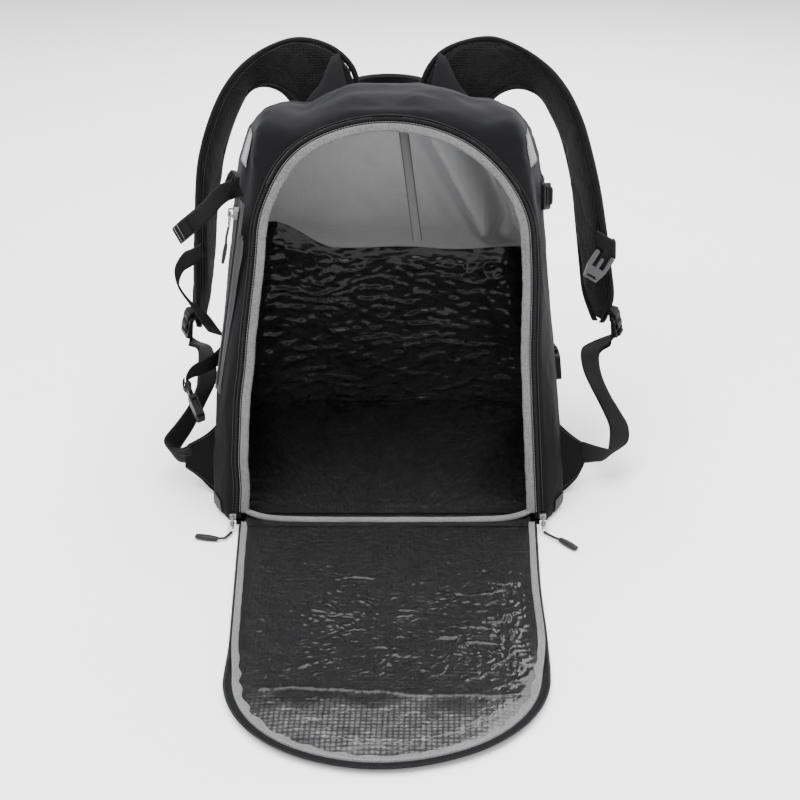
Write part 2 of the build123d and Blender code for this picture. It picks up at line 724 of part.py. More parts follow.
release_buckle(wall_plane(1, -6, LOWER_Z, 1.2), "right")
LEFT_BUCKLE = Plane(origin=(-194, -66, 94), x_dir=(-0.42, 0.55, 0.72), z_dir=(-0.9, -0.35, -0.25))
release_buckle(LEFT_BUCKLE, "left")
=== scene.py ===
"""Ski boot bag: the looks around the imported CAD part. Metres, in the part's own frame."""

import bisect
import bpy
import bmesh
import json
import math
from math import cos, sin, pi
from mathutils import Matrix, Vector, noise
from mathutils.bvhtree import BVHTree


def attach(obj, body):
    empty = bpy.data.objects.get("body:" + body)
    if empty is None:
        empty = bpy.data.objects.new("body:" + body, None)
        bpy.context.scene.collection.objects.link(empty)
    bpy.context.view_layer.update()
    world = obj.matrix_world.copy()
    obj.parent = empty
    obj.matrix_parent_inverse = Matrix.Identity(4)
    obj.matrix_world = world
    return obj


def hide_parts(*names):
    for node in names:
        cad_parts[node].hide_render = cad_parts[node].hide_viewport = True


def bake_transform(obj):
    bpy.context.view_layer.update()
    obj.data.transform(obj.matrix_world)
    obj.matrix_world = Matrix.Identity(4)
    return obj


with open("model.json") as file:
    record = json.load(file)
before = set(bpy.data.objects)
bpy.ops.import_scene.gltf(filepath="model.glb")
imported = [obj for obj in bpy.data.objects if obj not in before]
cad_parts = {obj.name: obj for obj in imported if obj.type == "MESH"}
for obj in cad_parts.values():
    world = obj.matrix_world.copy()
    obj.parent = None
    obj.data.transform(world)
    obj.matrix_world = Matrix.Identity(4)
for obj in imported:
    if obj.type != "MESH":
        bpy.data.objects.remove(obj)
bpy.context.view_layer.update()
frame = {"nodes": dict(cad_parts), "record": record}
scene = bpy.context.scene

# ---- camera --------------------------------------------------------------------------------------
CAMERA_DIP = 23.9  # degrees below the horizontal
camera_data = bpy.data.cameras.new("camera")
camera_data.lens = 68.27
camera_data.sensor_width = 36.0
camera = bpy.data.objects.new("camera", camera_data)
camera.location = (0.0121, -1.496, 0.735)
camera.rotation_euler = (math.radians(90 - CAMERA_DIP), 0, 0)
scene.collection.objects.link(camera)
scene.camera = camera


# ---- materials -----------------------------------------------------------------------------------
M = {}


class Paint:
    """A procedural material under construction: thin helpers round the node tree."""

    def __init__(self, name, colour, rough, **fixed):
        M[name] = self
        self.mat = bpy.data.materials.new(name)
        self.mat.use_nodes = True
        self.tree = self.mat.node_tree
        self.shader = self.tree.nodes["Principled BSDF"]
        self.set("Base Color", (*colour, 1))
        self.set("Roughness", rough)
        for key, value in fixed.items():
            self.set(key.replace("_", " "), value)
        self.coords = self.tree.nodes.new("ShaderNodeTexCoord")
        self.normal = None

    def set(self, key, value):
        self.shader.inputs[key].default_value = value

    def node(self, kind, links=None, **settings):
        made = self.tree.nodes.new("ShaderNode" + kind)
        for key, value in settings.items():
            setattr(made, key, value)
        for key, value in (links or {}).items():
            if isinstance(value, bpy.types.NodeSocket):
                self.tree.links.new(value, made.inputs[key])
            else:
                made.inputs[key].default_value = value
        return made.outputs[0]

    def math(self, operation, a, b=0.0, c=0.0):
        return self.node("Math", {0: a, 1: b, 2: c}, operation=operation)

    def axis(self, source, name):
        """One coordinate of the place: X, Y or Z."""
        split = self.tree.nodes.new("ShaderNodeSeparateXYZ")
        self.tree.links.new(self.coords.outputs[source], split.inputs[0])
        return split.outputs[name]

    def noise(self, source, scale, detail=3.0, rough=0.55, stretch=(1, 1, 1)):
        """Cloudy values; `source` is Object or UV, in metres, and `stretch` squeezes it along an axis."""
        at = self.node("Mapping", {"Vector": self.coords.outputs[source], "Scale": stretch})
        return self.node("TexNoise", {"Vector": at, "Scale": scale, "Detail": detail, "Roughness": rough})

    def remap(self, value, low, high, out_low, out_high):
        return self.node("MapRange", {0: value, 1: low, 2: high, 3: out_low, 4: out_high})

    def wave(self, source, axis, period):
        """A rounded 0 to 1 ripple along one axis of the coordinates, with its period in metres."""
        phase = self.math("MULTIPLY", self.axis(source, axis), 2 * pi / period)
        return self.math("MULTIPLY_ADD", self.math("SINE", phase), 0.5, 0.5)

    def colour(self, value, *stops):
        ramp = self.tree.nodes.new("ShaderNodeValToRGB")
        self.tree.links.new(value, ramp.inputs[0])
        while len(ramp.color_ramp.elements) < len(stops):
            ramp.color_ramp.elements.new(0.5)
        for element, (at, rgb) in zip(ramp.color_ramp.elements, stops):
            element.position = at
            element.color = (*rgb, 1)
        self.tree.links.new(ramp.outputs[0], self.shader.inputs["Base Color"])
        return self

    def rough(self, value, low, high):
        self.tree.links.new(self.remap(value, 0, 1, low, high), self.shader.inputs["Roughness"])
        return self

    def bump(self, height, distance, strength=1.0):
        links = {"Height": height, "Distance": distance, "Strength": strength}
        if self.normal is not None:
            links["Normal"] = self.normal
        self.normal = self.node("Bump", links)
        self.tree.links.new(self.normal, self.shader.inputs["Normal"])
        return self


def weave(paint, source, pitch):
    """Height of a plain weave: over and under threads, in metres per thread pair."""
    a, b = (paint.math("SUBTRACT", paint.wave(source, axis, pitch), 0.5) for axis in "XY")
    return paint.math("MULTIPLY_ADD", paint.math("MULTIPLY", a, b), 2.0, 0.5)


def cloth_3d(paint, pitch):
    """Weave height that needs no UV: three crossed ripples of the object's own coordinates."""
    x, y, z = (paint.wave("Object", axis, pitch) for axis in "XYZ")
    return paint.math("MULTIPLY", paint.math("ADD", paint.math("ADD", x, y), z), 0.333)


def tint(rgb, k):
    return tuple(c * k for c in rgb)


def fabric(
    name, rgb, rough, source="Object", pitch=0.0011, depth=0.00012, fuzz=0.25, spread=0.35, speckle=0.25, gloss=0.04
):
    """Woven cloth: thread relief, slow dye variation, scuffed lighter patches and a soft sheen."""
    paint = Paint(name, rgb, rough, Sheen_Weight=fuzz, Sheen_Roughness=0.5, Specular_IOR_Level=gloss)
    paint.set("Sheen Tint", (0.8, 0.8, 0.85, 1))
    threads = cloth_3d(paint, pitch) if source == "Object" else weave(paint, source, pitch)
    patches = paint.noise("Object", 14, 4)
    fine = paint.noise("Object", 900 if speckle < 0.3 else 520, 2)
    mixed = paint.math("MULTIPLY_ADD", threads, 0.25, paint.math("MULTIPLY", patches, 0.85 - speckle))
    mixed = paint.math("MULTIPLY_ADD", fine, speckle, mixed)
    paint.colour(mixed, (0.25, tint(rgb, 1 - spread)), (0.55, rgb), (0.85, tint(rgb, 1 + spread)))
    paint.rough(patches, rough - 0.08, rough + 0.1)
    paint.bump(threads, depth).bump(paint.noise("Object", 120, 3), 0.0003, 0.5)
    return paint


def by_height(paint, low, high, at_low, at_high):
    """A value that goes from `at_low` to `at_high` between two heights, with an uneven edge."""
    level = paint.math("MULTIPLY_ADD", paint.noise("Object", 18, 3), 0.05, paint.axis("Object", "Z"))
    return paint.remap(level, low, high, at_low, at_high)


# the shell's sheen fades out towards the floor: painted shade that keeps its lower walls dark against the floor's
# bounced light
nap = fabric("shell_fabric", (0.0046, 0.0047, 0.0051), 0.75, pitch=0.0009, fuzz=0.06)
nap.tree.links.new(by_height(nap, 0.10, 0.36, 0.0, 0.06), nap.shader.inputs["Sheen Weight"])

# the grey lining is painted darker towards the tub: painted shade deep inside the bag
lining = fabric("lining_grey", (0.43, 0.43, 0.436), 0.6, pitch=0.0008, depth=0.0001, spread=0.12, gloss=0.35)
shade = by_height(lining, 0.25, 0.37, 0.38, 1.0)
unshaded_colour = lining.shader.inputs["Base Color"].links[0].from_socket
painted_shade_colour = lining.node("VectorMath", {0: unshaded_colour, "Scale": shade}, operation="SCALE")
lining.tree.links.new(painted_shade_colour, lining.shader.inputs["Base Color"])

fabric("seam_tape", (0.21, 0.21, 0.213), 0.7, "UV", 0.0014, 0.0002, 0.1, 0.25)
fabric("binding_grey", (0.115, 0.115, 0.117), 0.85, "UV", 0.0019, 0.0004, 0.1, 0.75, 0.6)
fabric("patch_charcoal", (0.016, 0.016, 0.0175), 0.7, pitch=0.0008, fuzz=0.06)
fabric("reflective_grey", (0.13, 0.132, 0.136), 0.42, pitch=0.0007, spread=0.12)
fabric("zip_tape", (0.005, 0.005, 0.0055), 0.8, "UV", 0.0012, 0.0002, 0.05)
fabric("foam", (0.2, 0.2, 0.21), 0.9, pitch=0.002)
fabric("board", (0.02, 0.02, 0.02), 0.6, pitch=0.004)
fabric("strip_grey", (0.038, 0.038, 0.04), 0.65, pitch=0.0008, fuzz=0.06)


def webbing():
    """Ribbed nylon webbing: fine cross ribs over lengthwise cords, with patchy darker and lighter tone."""
    nylon = (0.006, 0.006, 0.0065)
    looks = {"Sheen_Weight": 0.04, "Sheen_Roughness": 0.4, "Specular_IOR_Level": 0.06}
    paint = Paint("webbing_black", nylon, 0.62, **looks)
    ribs = paint.wave("UV", "Y", 0.0013)
    cords = paint.wave("UV", "X", 0.0026)
    height = paint.math("MULTIPLY_ADD", cords, 0.4, ribs)
    patches = paint.noise("Object", 30, 4)
    mixed = paint.math("MULTIPLY_ADD", ribs, 0.3, paint.math("MULTIPLY", patches, 0.7))
    paint.colour(mixed, (0.2, (0.0035, 0.0035, 0.004)), (0.55, nylon), (0.9, (0.013, 0.013, 0.014)))
    paint.rough(patches, 0.5, 0.72).bump(height, 0.00028)


def air_mesh():
    """Three-dimensional spacer mesh: a hexagon-like net of pores, coloured darkest in the middle of each pore and
    palest on the ribs between them: painted shade in the hollows.
    """
    looks = {"Sheen_Weight": 0.04, "Sheen_Roughness": 0.6, "Specular_IOR_Level": 0.05}
    paint = Paint("mesh_black", (0.004, 0.004, 0.0045), 0.9, **looks)
    place = paint.coords.outputs["Object"]
    cells = paint.node("TexVoronoi", {"Vector": place, "Scale": 360, "Randomness": 0.35}, feature="F1")
    pores = paint.remap(cells, 0.15, 0.5, 0, 1)
    # painted shade: the pores darken towards their middles, the ribs between them stay palest
    pore_shade, net, rib = (0.0012, 0.0012, 0.0013), (0.0035, 0.0035, 0.0038), (0.0075, 0.0075, 0.008)
    paint.colour(pores, (0.0, pore_shade), (0.5, net), (1.0, rib))
    paint.bump(pores, 0.0009).bump(paint.noise("Object", 70, 3), 0.0008, 0.6)


def tarp(name, painted_reflection_from=None):
    """Glossy woven polyethylene: flat tapes over and under, a wet film and fine creases.

    Beyond a given depth it is painted paler grey with the tapes' squares showing: a painted reflection of the
    bright surroundings."""
    looks = {"Coat_Weight": 0.3, "Coat_Roughness": 0.1, "Specular_IOR_Level": 0.18}
    paint = Paint(name, (0.005, 0.005, 0.0055), 0.32, **looks)
    tapes = [paint.math("POWER", paint.wave("UV", axis, 0.0044), 0.3) for axis in "XY"]
    grid = paint.math("MULTIPLY", *tapes)
    film = paint.noise("UV", 260, 5, 0.65, (1, 2.4, 1))
    creases = paint.noise("UV", 55, 6, 0.7, (1, 2.8, 1))
    ridged = paint.math("ABSOLUTE", paint.math("SUBTRACT", creases, 0.5))
    ridged = paint.math("SUBTRACT", 1.0, paint.math("MULTIPLY", ridged, 6.0))
    tone_and_reflection = paint.math("MULTIPLY_ADD", film, 0.5, paint.math("MULTIPLY", creases, 0.5))
    tone_and_reflection = paint.math("MULTIPLY_ADD", grid, 0.10, paint.math("SUBTRACT", tone_and_reflection, 0.05))
    # painted reflection: past the given depth the colour is lifted to grey, with the tape grid showing
    if painted_reflection_from:
        edge = paint.math("MULTIPLY_ADD", paint.noise("Object", 26, 4, 0.6), 0.09, paint.axis("Object", "Y"))
        painted_reflection = paint.remap(edge, painted_reflection_from, painted_reflection_from - 0.03, 0, 0.24)
        reflected_squares = paint.math("MULTIPLY", painted_reflection, paint.math("MULTIPLY_ADD", grid, 0.6, 0.6))
        tone_and_reflection = paint.math("ADD", tone_and_reflection, reflected_squares)
    dark, black = (0.3, (0.002, 0.002, 0.0022)), (0.55, (0.005, 0.005, 0.0055))
    paint.colour(tone_and_reflection, dark, black, (0.72, (0.03, 0.03, 0.031)), (1.0, (0.16, 0.16, 0.163)))
    paint.rough(film, 0.2, 0.46)
    paint.bump(grid, 0.0005, 0.7).bump(film, 0.0012, 0.8).bump(ridged, 0.0013, 0.8)


def moulded(name, rgb, rough, grain=0.00006, edge=0.0004, gloss=0.5):
    """Moulded plastic: spark-eroded grain, rounded edges and small gloss changes."""
    paint = Paint(name, rgb, rough, Specular_IOR_Level=gloss)
    paint.normal = paint.node("Bevel", {"Radius": edge})
    patches = paint.noise("Object", 220, 4)
    paint.colour(patches, (0.3, tint(rgb, 0.8)), (0.6, rgb), (0.85, tint(rgb, 1.5)))
    paint.rough(patches, rough - 0.1, rough + 0.12).bump(paint.noise("Object", 2600, 2), grain)


def metal(name, rgb, rough):
    """Plated metal: rounded edges, faint brushing and dulled patches."""
    paint = Paint(name, rgb, rough, Metallic=1.0)
    paint.normal = paint.node("Bevel", {"Radius": 0.0003})
    patches = paint.noise("Object", 300, 4)
    paint.colour(patches, (0.3, tint(rgb, 0.75)), (0.7, rgb))
    brush = paint.noise("Object", 900, 2, 0.5, (1, 1, 8))
    paint.rough(patches, rough - 0.08, rough + 0.15).bump(brush, 0.00004)


webbing()
air_mesh()
tarp("lining_black")
# the flap's tarp gets a painted reflection: paler grey with its tapes' squares over the far end of the open flap
tarp("flap_tarp", -0.405)
moulded("zip_coil", (0.006, 0.006, 0.0065), 0.45, 0.00002, 0.0001, 0.2)
moulded("hardware", (0.0042, 0.0042, 0.0046), 0.5, gloss=0.08)
moulded("buckle_grey", (0.035, 0.036, 0.038), 0.5)
moulded("puller_rubber", (0.007, 0.007, 0.0075), 0.55, gloss=0.25)
metal("nickel", (0.22, 0.22, 0.225), 0.24)
moulded("thread", (0.022, 0.022, 0.023), 0.6, 0.00003, 0.0001)
moulded("thread_pale", (0.24, 0.24, 0.25), 0.6, 0.00003, 0.0001)

floor_paint = Paint("floor", (0.82, 0.82, 0.82), 0.9)
floor_paint.colour(floor_paint.noise("Object", 3, 3), (0.0, (0.80, 0.80, 0.80)), (1.0, (0.84, 0.84, 0.84)))

# every CAD node starts with the finish of its own material slot
for row in frame["record"]["subparts"]:
    node = frame["nodes"].get(row["node"])
    if node is not None:
        node.data.materials.clear()
        finish = "buckle_grey" if row["node"] == "sternum_buckle" else row["material_slot"]
        node.data.materials.append(M[finish].mat)

# ---- floor and light -----------------------------------------------------------------------------
floor_mesh = bpy.data.meshes.new("floor")
FLOOR_HALF = 14
corners = [(x * FLOOR_HALF, y * FLOOR_HALF, 0) for x, y in ((-1, -1), (1, -1), (1, 1), (-1, 1))]
floor_mesh.from_pydata(corners, [], [(0, 1, 2, 3)])
floor_mesh.materials.append(floor_paint.mat)
floor = bpy.data.objects.new("floor", floor_mesh)
scene.collection.objects.link(floor)

world = bpy.data.worlds.new("studio")
scene.world = world
world.use_nodes = True
sky = world.node_tree.nodes["Background"].inputs
sky["Color"].default_value = (0.95, 0.96, 0.97, 1)
sky["Strength"].default_value = 0.5


def area_light(name, place, aim, size, power):
    """A square soft light that looks at `aim`; `power` is in watts."""
    data = bpy.data.lights.new(name, "AREA")
    data.size = size
    data.energy = power
    lamp = bpy.data.objects.new(name, data)
    lamp.location = place
    lamp.rotation_euler = (Vector(aim) - Vector(place)).to_track_quat("-Z", "Y").to_euler()
    scene.collection.objects.link(lamp)


area_light("key", (-1.1, -1.5, 2.3), (0, -0.1, 0.2), 1.2, 50)
area_light("fill", (1.8, -1.4, 1.4), (0, 0, 0.2), 1.6, 13)
area_light("rim", (0.3, 2.2, 1.9), (0, 0.1, 0.25), 1.4, 75)
area_light("front", (0.1, -2.6, 1.5), (0, 0, 0.25), 1.5, 45)
area_light("top", (0, -0.1, 3.4), (0, -0.1, 0), 3.6, 430)

# ---- the bag's own measures, as in the CAD part --------------------------------------------------
TILT = math.radians(12)
FRONT_Y, HINGE_Z, AXIS_Y = -0.150, 0.008, -0.150489
ARCH_HALF, ARCH_LEG, ARCH_LEAN = 0.149, 0.280, math.radians(3.2)
SHOULDER_R, SHOULDER_END = 0.115, math.radians(65)


def front(x, up, out):
    """A point of the leaning front face: across, up the face, and out of it."""
    return Vector((x, FRONT_Y + up * sin(TILT) - out * cos(TILT), HINGE_Z + up * cos(TILT) + out * sin(TILT)))


def flap(x, run, high):
    """A point of the open flap: across, away from the bag, and above the floor."""
    return Vector((x, AXIS_Y - run, high))


LEAN_C, LEAN_S = cos(ARCH_LEAN), sin(ARCH_LEAN)
KNEE_UP = ARCH_LEG * LEAN_C
SHOULDER_X, SHOULDER_UP = ARCH_HALF - ARCH_LEG * LEAN_S - SHOULDER_R * LEAN_C, KNEE_UP - SHOULDER_R * LEAN_S
CROWN_R = SHOULDER_R + SHOULDER_X / cos(SHOULDER_END)
CROWN_UP = SHOULDER_UP - (CROWN_R - SHOULDER_R) * sin(SHOULDER_END)


def arch_path(step, foot=0.0):
    """The opening's outline from its left foot to its right: (x, up, normal x, normal up, length)."""
    leg = KNEE_UP - foot
    count = int(leg / step)
    ups = [foot + leg * i / count for i in range(count)]
    pieces = [(ARCH_HALF - up * math.tan(ARCH_LEAN), up, LEAN_C, LEAN_S) for up in ups]
    for centre_x, centre_up, radius, start, end in (
        (SHOULDER_X, SHOULDER_UP, SHOULDER_R, ARCH_LEAN, SHOULDER_END),
        (0.0, CROWN_UP, CROWN_R, SHOULDER_END, pi / 2),
    ):
        turn = end - start
        count = int(turn * radius / step)
        for i in range(count):
            a = start + turn * i / count
            pieces.append((centre_x + radius * cos(a), centre_up + radius * sin(a), cos(a), sin(a)))
    top = (0.0, CROWN_UP + CROWN_R, 0.0, 1.0)
    half = [(-x, up, -nx, nu) for x, up, nx, nu in pieces]
    whole = half + [top] + pieces[::-1]
    out, length = [], 0.0
    for i, (x, up, nx, nu) in enumerate(whole):
        if i:
            length += math.hypot(x - whole[i - 1][0], up - whole[i - 1][1])
        out.append((x, up, nx, nu, length))
    return out


ARCH = arch_path(0.002)


def arch_grow(x, up):
    """How far a point of the face plane lies outside the opening's outline (negative inside)."""
    x = abs(x)
    right, above = x - SHOULDER_X, up - SHOULDER_UP
    if above < math.tan(ARCH_LEAN) * right:
        return (x - ARCH_HALF) * LEAN_C + up * LEAN_S
    if math.atan2(above, right) < SHOULDER_END:
        return math.hypot(right, above) - SHOULDER_R
    return math.hypot(x, up - CROWN_UP) - CROWN_R


def wobble(at, scale, seed=0.0):
    """Smooth noise from -1 to 1 at a point, with features about 1/scale metres across."""
    return noise.noise(Vector(at) * scale + Vector((seed, seed * 1.7, seed * 2.3)))


def crease(at, scale, seed=0.0):
    """Sharp-ridged noise from 0 to 1: high along thin wandering lines."""
    return 1.0 - min(1.0, abs(wobble(at, scale, seed)) * 3.2)


def ease(value, low, high):
    """0 below `low`, 1 above `high`, and smooth between them."""
    t = min(1.0, max(0.0, (value - low) / (high - low)))
    return t * t * (3 - 2 * t)


# ---- mesh builders -------------------------------------------------------------------------------
def make(name, verts, faces, mat, body, uvs=None, replaces=()):
    """A mesh object with its finish, its body and the CAD nodes that it stands for."""
    mesh = bpy.data.meshes.new(name)
    mesh.from_pydata([tuple(v) for v in verts], [], faces)
    if uvs is not None:
        layer = mesh.uv_layers.new(name="length")
        for loop in mesh.loops:
            layer.data[loop.index].uv = uvs[loop.vertex_index]
    mesh.materials.append(M[mat].mat)
    mesh.shade_smooth()
    mesh.update()
    obj = bpy.data.objects.new(name, mesh)
    scene.collection.objects.link(obj)
    if body:
        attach(obj, body)
    if replaces:
        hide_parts(*replaces)
    return obj


def grid(name, rows, mat, body, slot, replaces=(), ring=False, caps=False):
    """A mesh through rows of points. `ring` closes each row; `caps` fills both ends."""
    count = len(rows[0])
    verts = [p for row in rows for p in row]
    uvs, along = [], 0.0
    for j, row in enumerate(rows):
        if j:
            along += (row[count // 4] - rows[j - 1][count // 4]).length
        across = 0.0
        for i, p in enumerate(row):
            if i:
                across += (p - row[i - 1]).length
            uvs.append((across, along))
    faces = []
    for j in range(len(rows) - 1):
        for i in range(count if ring else count - 1):
            k = (i + 1) % count
            faces.append((j * count + i, j * count + k, (j + 1) * count + k, (j + 1) * count + i))
    if caps:
        last = (len(rows) - 1) * count
        faces.append(tuple(range(count))[::-1])
        faces.append(tuple(last + i for i in range(count)))
    return make(name, verts, faces, mat, body, uvs, replaces)


def sway(p):
    """Sideways lean of the bag's soft mouth: the face settles to the right at mid height."""
    right = 0.0050 * ease(p.z, 0.15, 0.26) * (1 - ease(p.z, 0.29, 0.37))
    low = -0.0030 * ease(p.z, 0.035, 0.07) * (1 - ease(p.z, 0.12, 0.17))
    left = low + 0.0068 * ease(p.z, 0.16, 0.285) * (1 - ease(p.z, 0.32, 0.38))
    return left + (right - left) * ease(p.x, -0.10, 0.10)


def settle(obj):
    """Give a piece at the bag's mouth its sideways lean, fading behind the face."""
    for v in obj.data.vertices:
        depth = v.co.y - FRONT_Y - (v.co.z - HINGE_Z) * math.tan(TILT)
        v.co.x += sway(v.co) * (1.0 - ease(depth, 0.004, 0.034))
    obj.data.update()


def spline(points, per=8):
    """A smooth line through points (or tuples of points), as a Catmull-Rom curve."""
    pts = [Vector(p) for p in points]
    out = []
    for i in range(len(pts) - 1):
        a, b = pts[max(i - 1, 0)], pts[i]
        c, d = pts[i + 1], pts[min(i + 2, len(pts) - 1)]
        for k in range(per):
            t = k / per
            point = 2 * b + (c - a) * t + (2 * a - 5 * b + 4 * c - d) * t * t
            out.append(0.5 * (point + (3 * b - a - 3 * c + d) * t ** 3))
    out.append(pts[-1])
    return out


def frames_of(edges, per):
    """Stations of a strap: (middle, half across vector, normal, length so far)."""
    left = spline([a for a, b in edges], per)
    right = spline([b for a, b in edges], per)
    mids = [(a + b) / 2 for a, b in zip(left, right)]
    out, length = [], 0.0
    for i, mid in enumerate(mids):
        if i:
            length += (mid - mids[i - 1]).length
        across = (right[i] - left[i]) / 2
        along = mids[min(i + 1, len(mids) - 1)] - mids[max(i - 1, 0)]
        normal = across.cross(along).normalized()
        out.append((mid, across, normal, length))
    return out


def metres(edges):
    """Edge points given in millimetres, in metres."""
    return [(Vector(a) * 0.001, Vector(b) * 0.001) for a, b in edges]


def strap(name, edges, thick, mat, body, slot, replaces=(), per=8, puff=0.25, cols=9, ripple=0.0, seed=0.0):
    """A flat strap with rolled edges through pairs of edge points; `puff` rounds its thickness."""
    rows = []
    for mid, across, normal, length in frames_of(edges, per):
        row = []
        for side in (1, -1):
            for i in range(cols):
                c = side * (-1 + 2 * i / (cols - 1))
                high = (1 - abs(c) ** (2 / puff)) ** 0.5 if abs(c) < 1 else 0.0
                lift = side * thick / 2 * high
                lift += ripple * wobble((c * 0.3, length * 18, 0), 1.0, seed)
                row.append(mid + across * c + normal * lift)
            row.pop()
        rows.append(row)
    return grid(name, rows, mat, body, slot, replaces, ring=True, caps=True)


def web(name, edges, nodes=(), thick=0.0015, per=7, puff=0.1, body="bag", **more):
    """A strip of the black webbing."""
    return strap(name, edges, thick, "webbing_black", body, "webbing_black", nodes, per, puff, **more)


def studs(name, frames, length, radius, mat, body, replaces=(), arc=0.3, sides=6):
    """Many small rounded bars in one mesh: zip teeth or stitches. Frames are (middle, along, up)."""
    verts, faces = [], []
    shape = [(-0.5, 0.35), (-0.42, 0.9), (0.0, 1.0), (0.42, 0.9), (0.5, 0.35)]
    for mid, along, up in frames:
        side = along.cross(up).normalized()
        base = len(verts)
        for t, swell in shape:
            centre = mid + along * (t * length) + up * (radius * arc * (1 - 4 * t * t))
            for k in range(sides):
                a = 2 * pi * k / sides
                verts.append(centre + (side * cos(a) + up * sin(a)) * radius * swell)
        for j in range(len(shape) - 1):
            for k in range(sides):
                n = (k + 1) % sides
                low, high = base + j * sides, base + (j + 1) * sides
                faces.append((low + k, low + n, high + n, high + k))
        faces.append(tuple(base + k for k in range(sides))[::-1])
        faces.append(tuple(base + (len(shape) - 1) * sides + k for k in range(sides)))
    return make(name, verts, faces, mat, body, None, replaces)


FINE = 0.0021, 0.00026  # length and radius of a fine stitch


def sew(name, frames, slot="webbing_black", length=0.0022, radius=0.0003, mat="thread", body="bag"):
    """Stitches: short bars of thread."""
    return studs(name, frames, length, radius, mat, body)


def walk(points, pitch):
    """Evenly spaced (point, direction) along a line of points."""
    out, left = [], pitch / 2
    for a, b in zip(points, points[1:]):
        run = (b - a).length
        if run < 1e-9:
            continue
        way = (b - a) / run
        at = left
        while at < run:
            out.append((a + way * at, way))
            at += pitch
        left = at - run
    return out


def stitch_frames(points, ups, pitch=0.0032):
    """Frames for stitches along a line; `ups` is one normal or one for each point."""
    frames = []
    if isinstance(ups, Vector):
        return [(p, way, ups) for p, way in walk(points, pitch)]
    lengths = [0.0]
    for a, b in zip(points, points[1:]):
        lengths.append(lengths[-1] + (b - a).length)
    at = pitch / 2
    for p, way in walk(points, pitch):
        i = min(bisect.bisect(lengths, at), len(ups) - 1)
        up = ups[i]
        frames.append((p, way, (up - way * up.dot(way)).normalized()))
        at += pitch
    return frames


def edge_lines(edges, per, spots, lift):
    """Stitch lines on a strap: for each spot across it (-1 to 1), on the side of `lift`'s sign."""
    frames = []
    stations = frames_of(edges, per)
    for c in spots:
        points = [mid + across * c + normal * lift for mid, across, normal, _ in stations[1:-1]]
        ups = [normal * (1 if lift > 0 else -1) for _, _, normal, _ in stations[1:-1]]
        frames += stitch_frames(points, ups)
    return frames


def arch_band(name, surface, profile, mat, body, slot, replaces, path, warp=None):
    """A band that follows an outline on a surface. `profile` is a ring of (outward, height) points."""
    rows = []
    for x, up, nx, nu, length in path:
        row = []
        for g, h in profile:
            if warp:
                g, h = warp(length, g, h, x, up)
            row.append(surface(x + nx * g, up + nu * g, h))
        rows.append(row)
    return grid(name, rows, mat, body, slot, replaces, ring=True, caps=True)


def pill(inner, outer, low, high, count=7):
    """Ring of a flat strip with round edges, from `inner` to `outer` and `low` to `high`."""
    mid, r = (low + high) / 2, (high - low) / 2
    ring = []
    for k in range(count):
        a = -pi / 2 + pi * k / (count - 1)
        ring.append((outer - r + r * cos(a), mid + r * sin(a)))
    steps = 4
    for k in range(1, steps):
        ring.append((outer - r + (inner - outer + 2 * r) * k / steps, high))
    for k in range(count):
        a = pi / 2 + pi * k / (count - 1)
        ring.append((inner + r + r * cos(a), mid + r * sin(a)))
    for k in range(1, steps):
        ring.append((inner + r + (outer - inner - 2 * r) * k / steps, low))
    return ring


# ---- cloth ---------------------------------------------------------------------------------------
def inflate(obj, voxel, pressure, cap, pinned=None, frames=20, stiff=12.0, relax=6):
    """Voxel remesh, then a short cloth simulation under inner pressure, with moves capped."""
    remesh = obj.modifiers.new("remesh", "REMESH")
    remesh.mode = "VOXEL"
    remesh.voxel_size = voxel
    bake(obj)
    smooth_mesh(obj, 0.5, relax)
    start = [v.co.copy() for v in obj.data.vertices]
    cloth = obj.modifiers.new("cloth", "CLOTH")
    cloth.settings.use_pressure = True
    cloth.settings.uniform_pressure_force = pressure
    cloth.settings.effector_weights.gravity = 0
    cloth.settings.quality = 4
    cloth.settings.tension_stiffness = stiff
    cloth.settings.compression_stiffness = stiff
    cloth.settings.bending_stiffness = 0.4
    cloth.collision_settings.use_collision = False
    if pinned:
        group = obj.vertex_groups.new(name="pin")
        for v in obj.data.vertices:
            weight = pinned(obj.matrix_world @ v.co)
            if weight > 0.01:
                group.add([v.index], min(1.0, weight), "REPLACE")
        cloth.settings.vertex_group_mass = "pin"
    for number in range(1, frames + 1):
        scene.frame_set(number)
    evaluated = obj.evaluated_get(bpy.context.evaluated_depsgraph_get())
    moved = [v.co.copy() for v in evaluated.data.vertices]
    obj.modifiers.remove(cloth)
    scene.frame_set(1)
    for vertex, old, new in zip(obj.data.vertices, start, moved):
        shift = new - old
        if shift.length > cap:
            shift *= cap / shift.length
        vertex.co = old + shift
    obj.vertex_groups.clear()
    smooth_mesh(obj, 0.4, 2)


def bake(obj):
    """Apply every modifier of an object to its mesh."""
    evaluated = obj.evaluated_get(bpy.context.evaluated_depsgraph_get())
    mesh = bpy.data.meshes.new_from_object(evaluated)
    mats = list(obj.data.materials)
    obj.modifiers.clear()
    obj.data = mesh
    obj.data.materials.clear()
    for m in mats:
        obj.data.materials.append(m)
    obj.data.shade_smooth()


def smooth_mesh(obj, factor, times):
    """Draw every vertex towards its neighbours, several times."""
    bm = bmesh.new()
    bm.from_mesh(obj.data)
    for _ in range(times):
        bmesh.ops.smooth_vert(bm, verts=bm.verts, factor=factor, use_axis_x=True, use_axis_y=True, use_axis_z=True)
    bm.to_mesh(obj.data)
    bm.free()


def subdivide(obj):
    """One level of rounded subdivision."""
    obj.modifiers.new("sub", "SUBSURF")
    bake(obj)


def sculpt(obj, amount):
    """Move each vertex along its normal by amount(place)."""
    points = [(v.co.copy(), v.normal.copy()) for v in obj.data.vertices]
    flat = []
    for p, normal in points:
        flat.extend(p + normal * amount(p))
    obj.data.vertices.foreach_set("co", flat)
    obj.data.update()


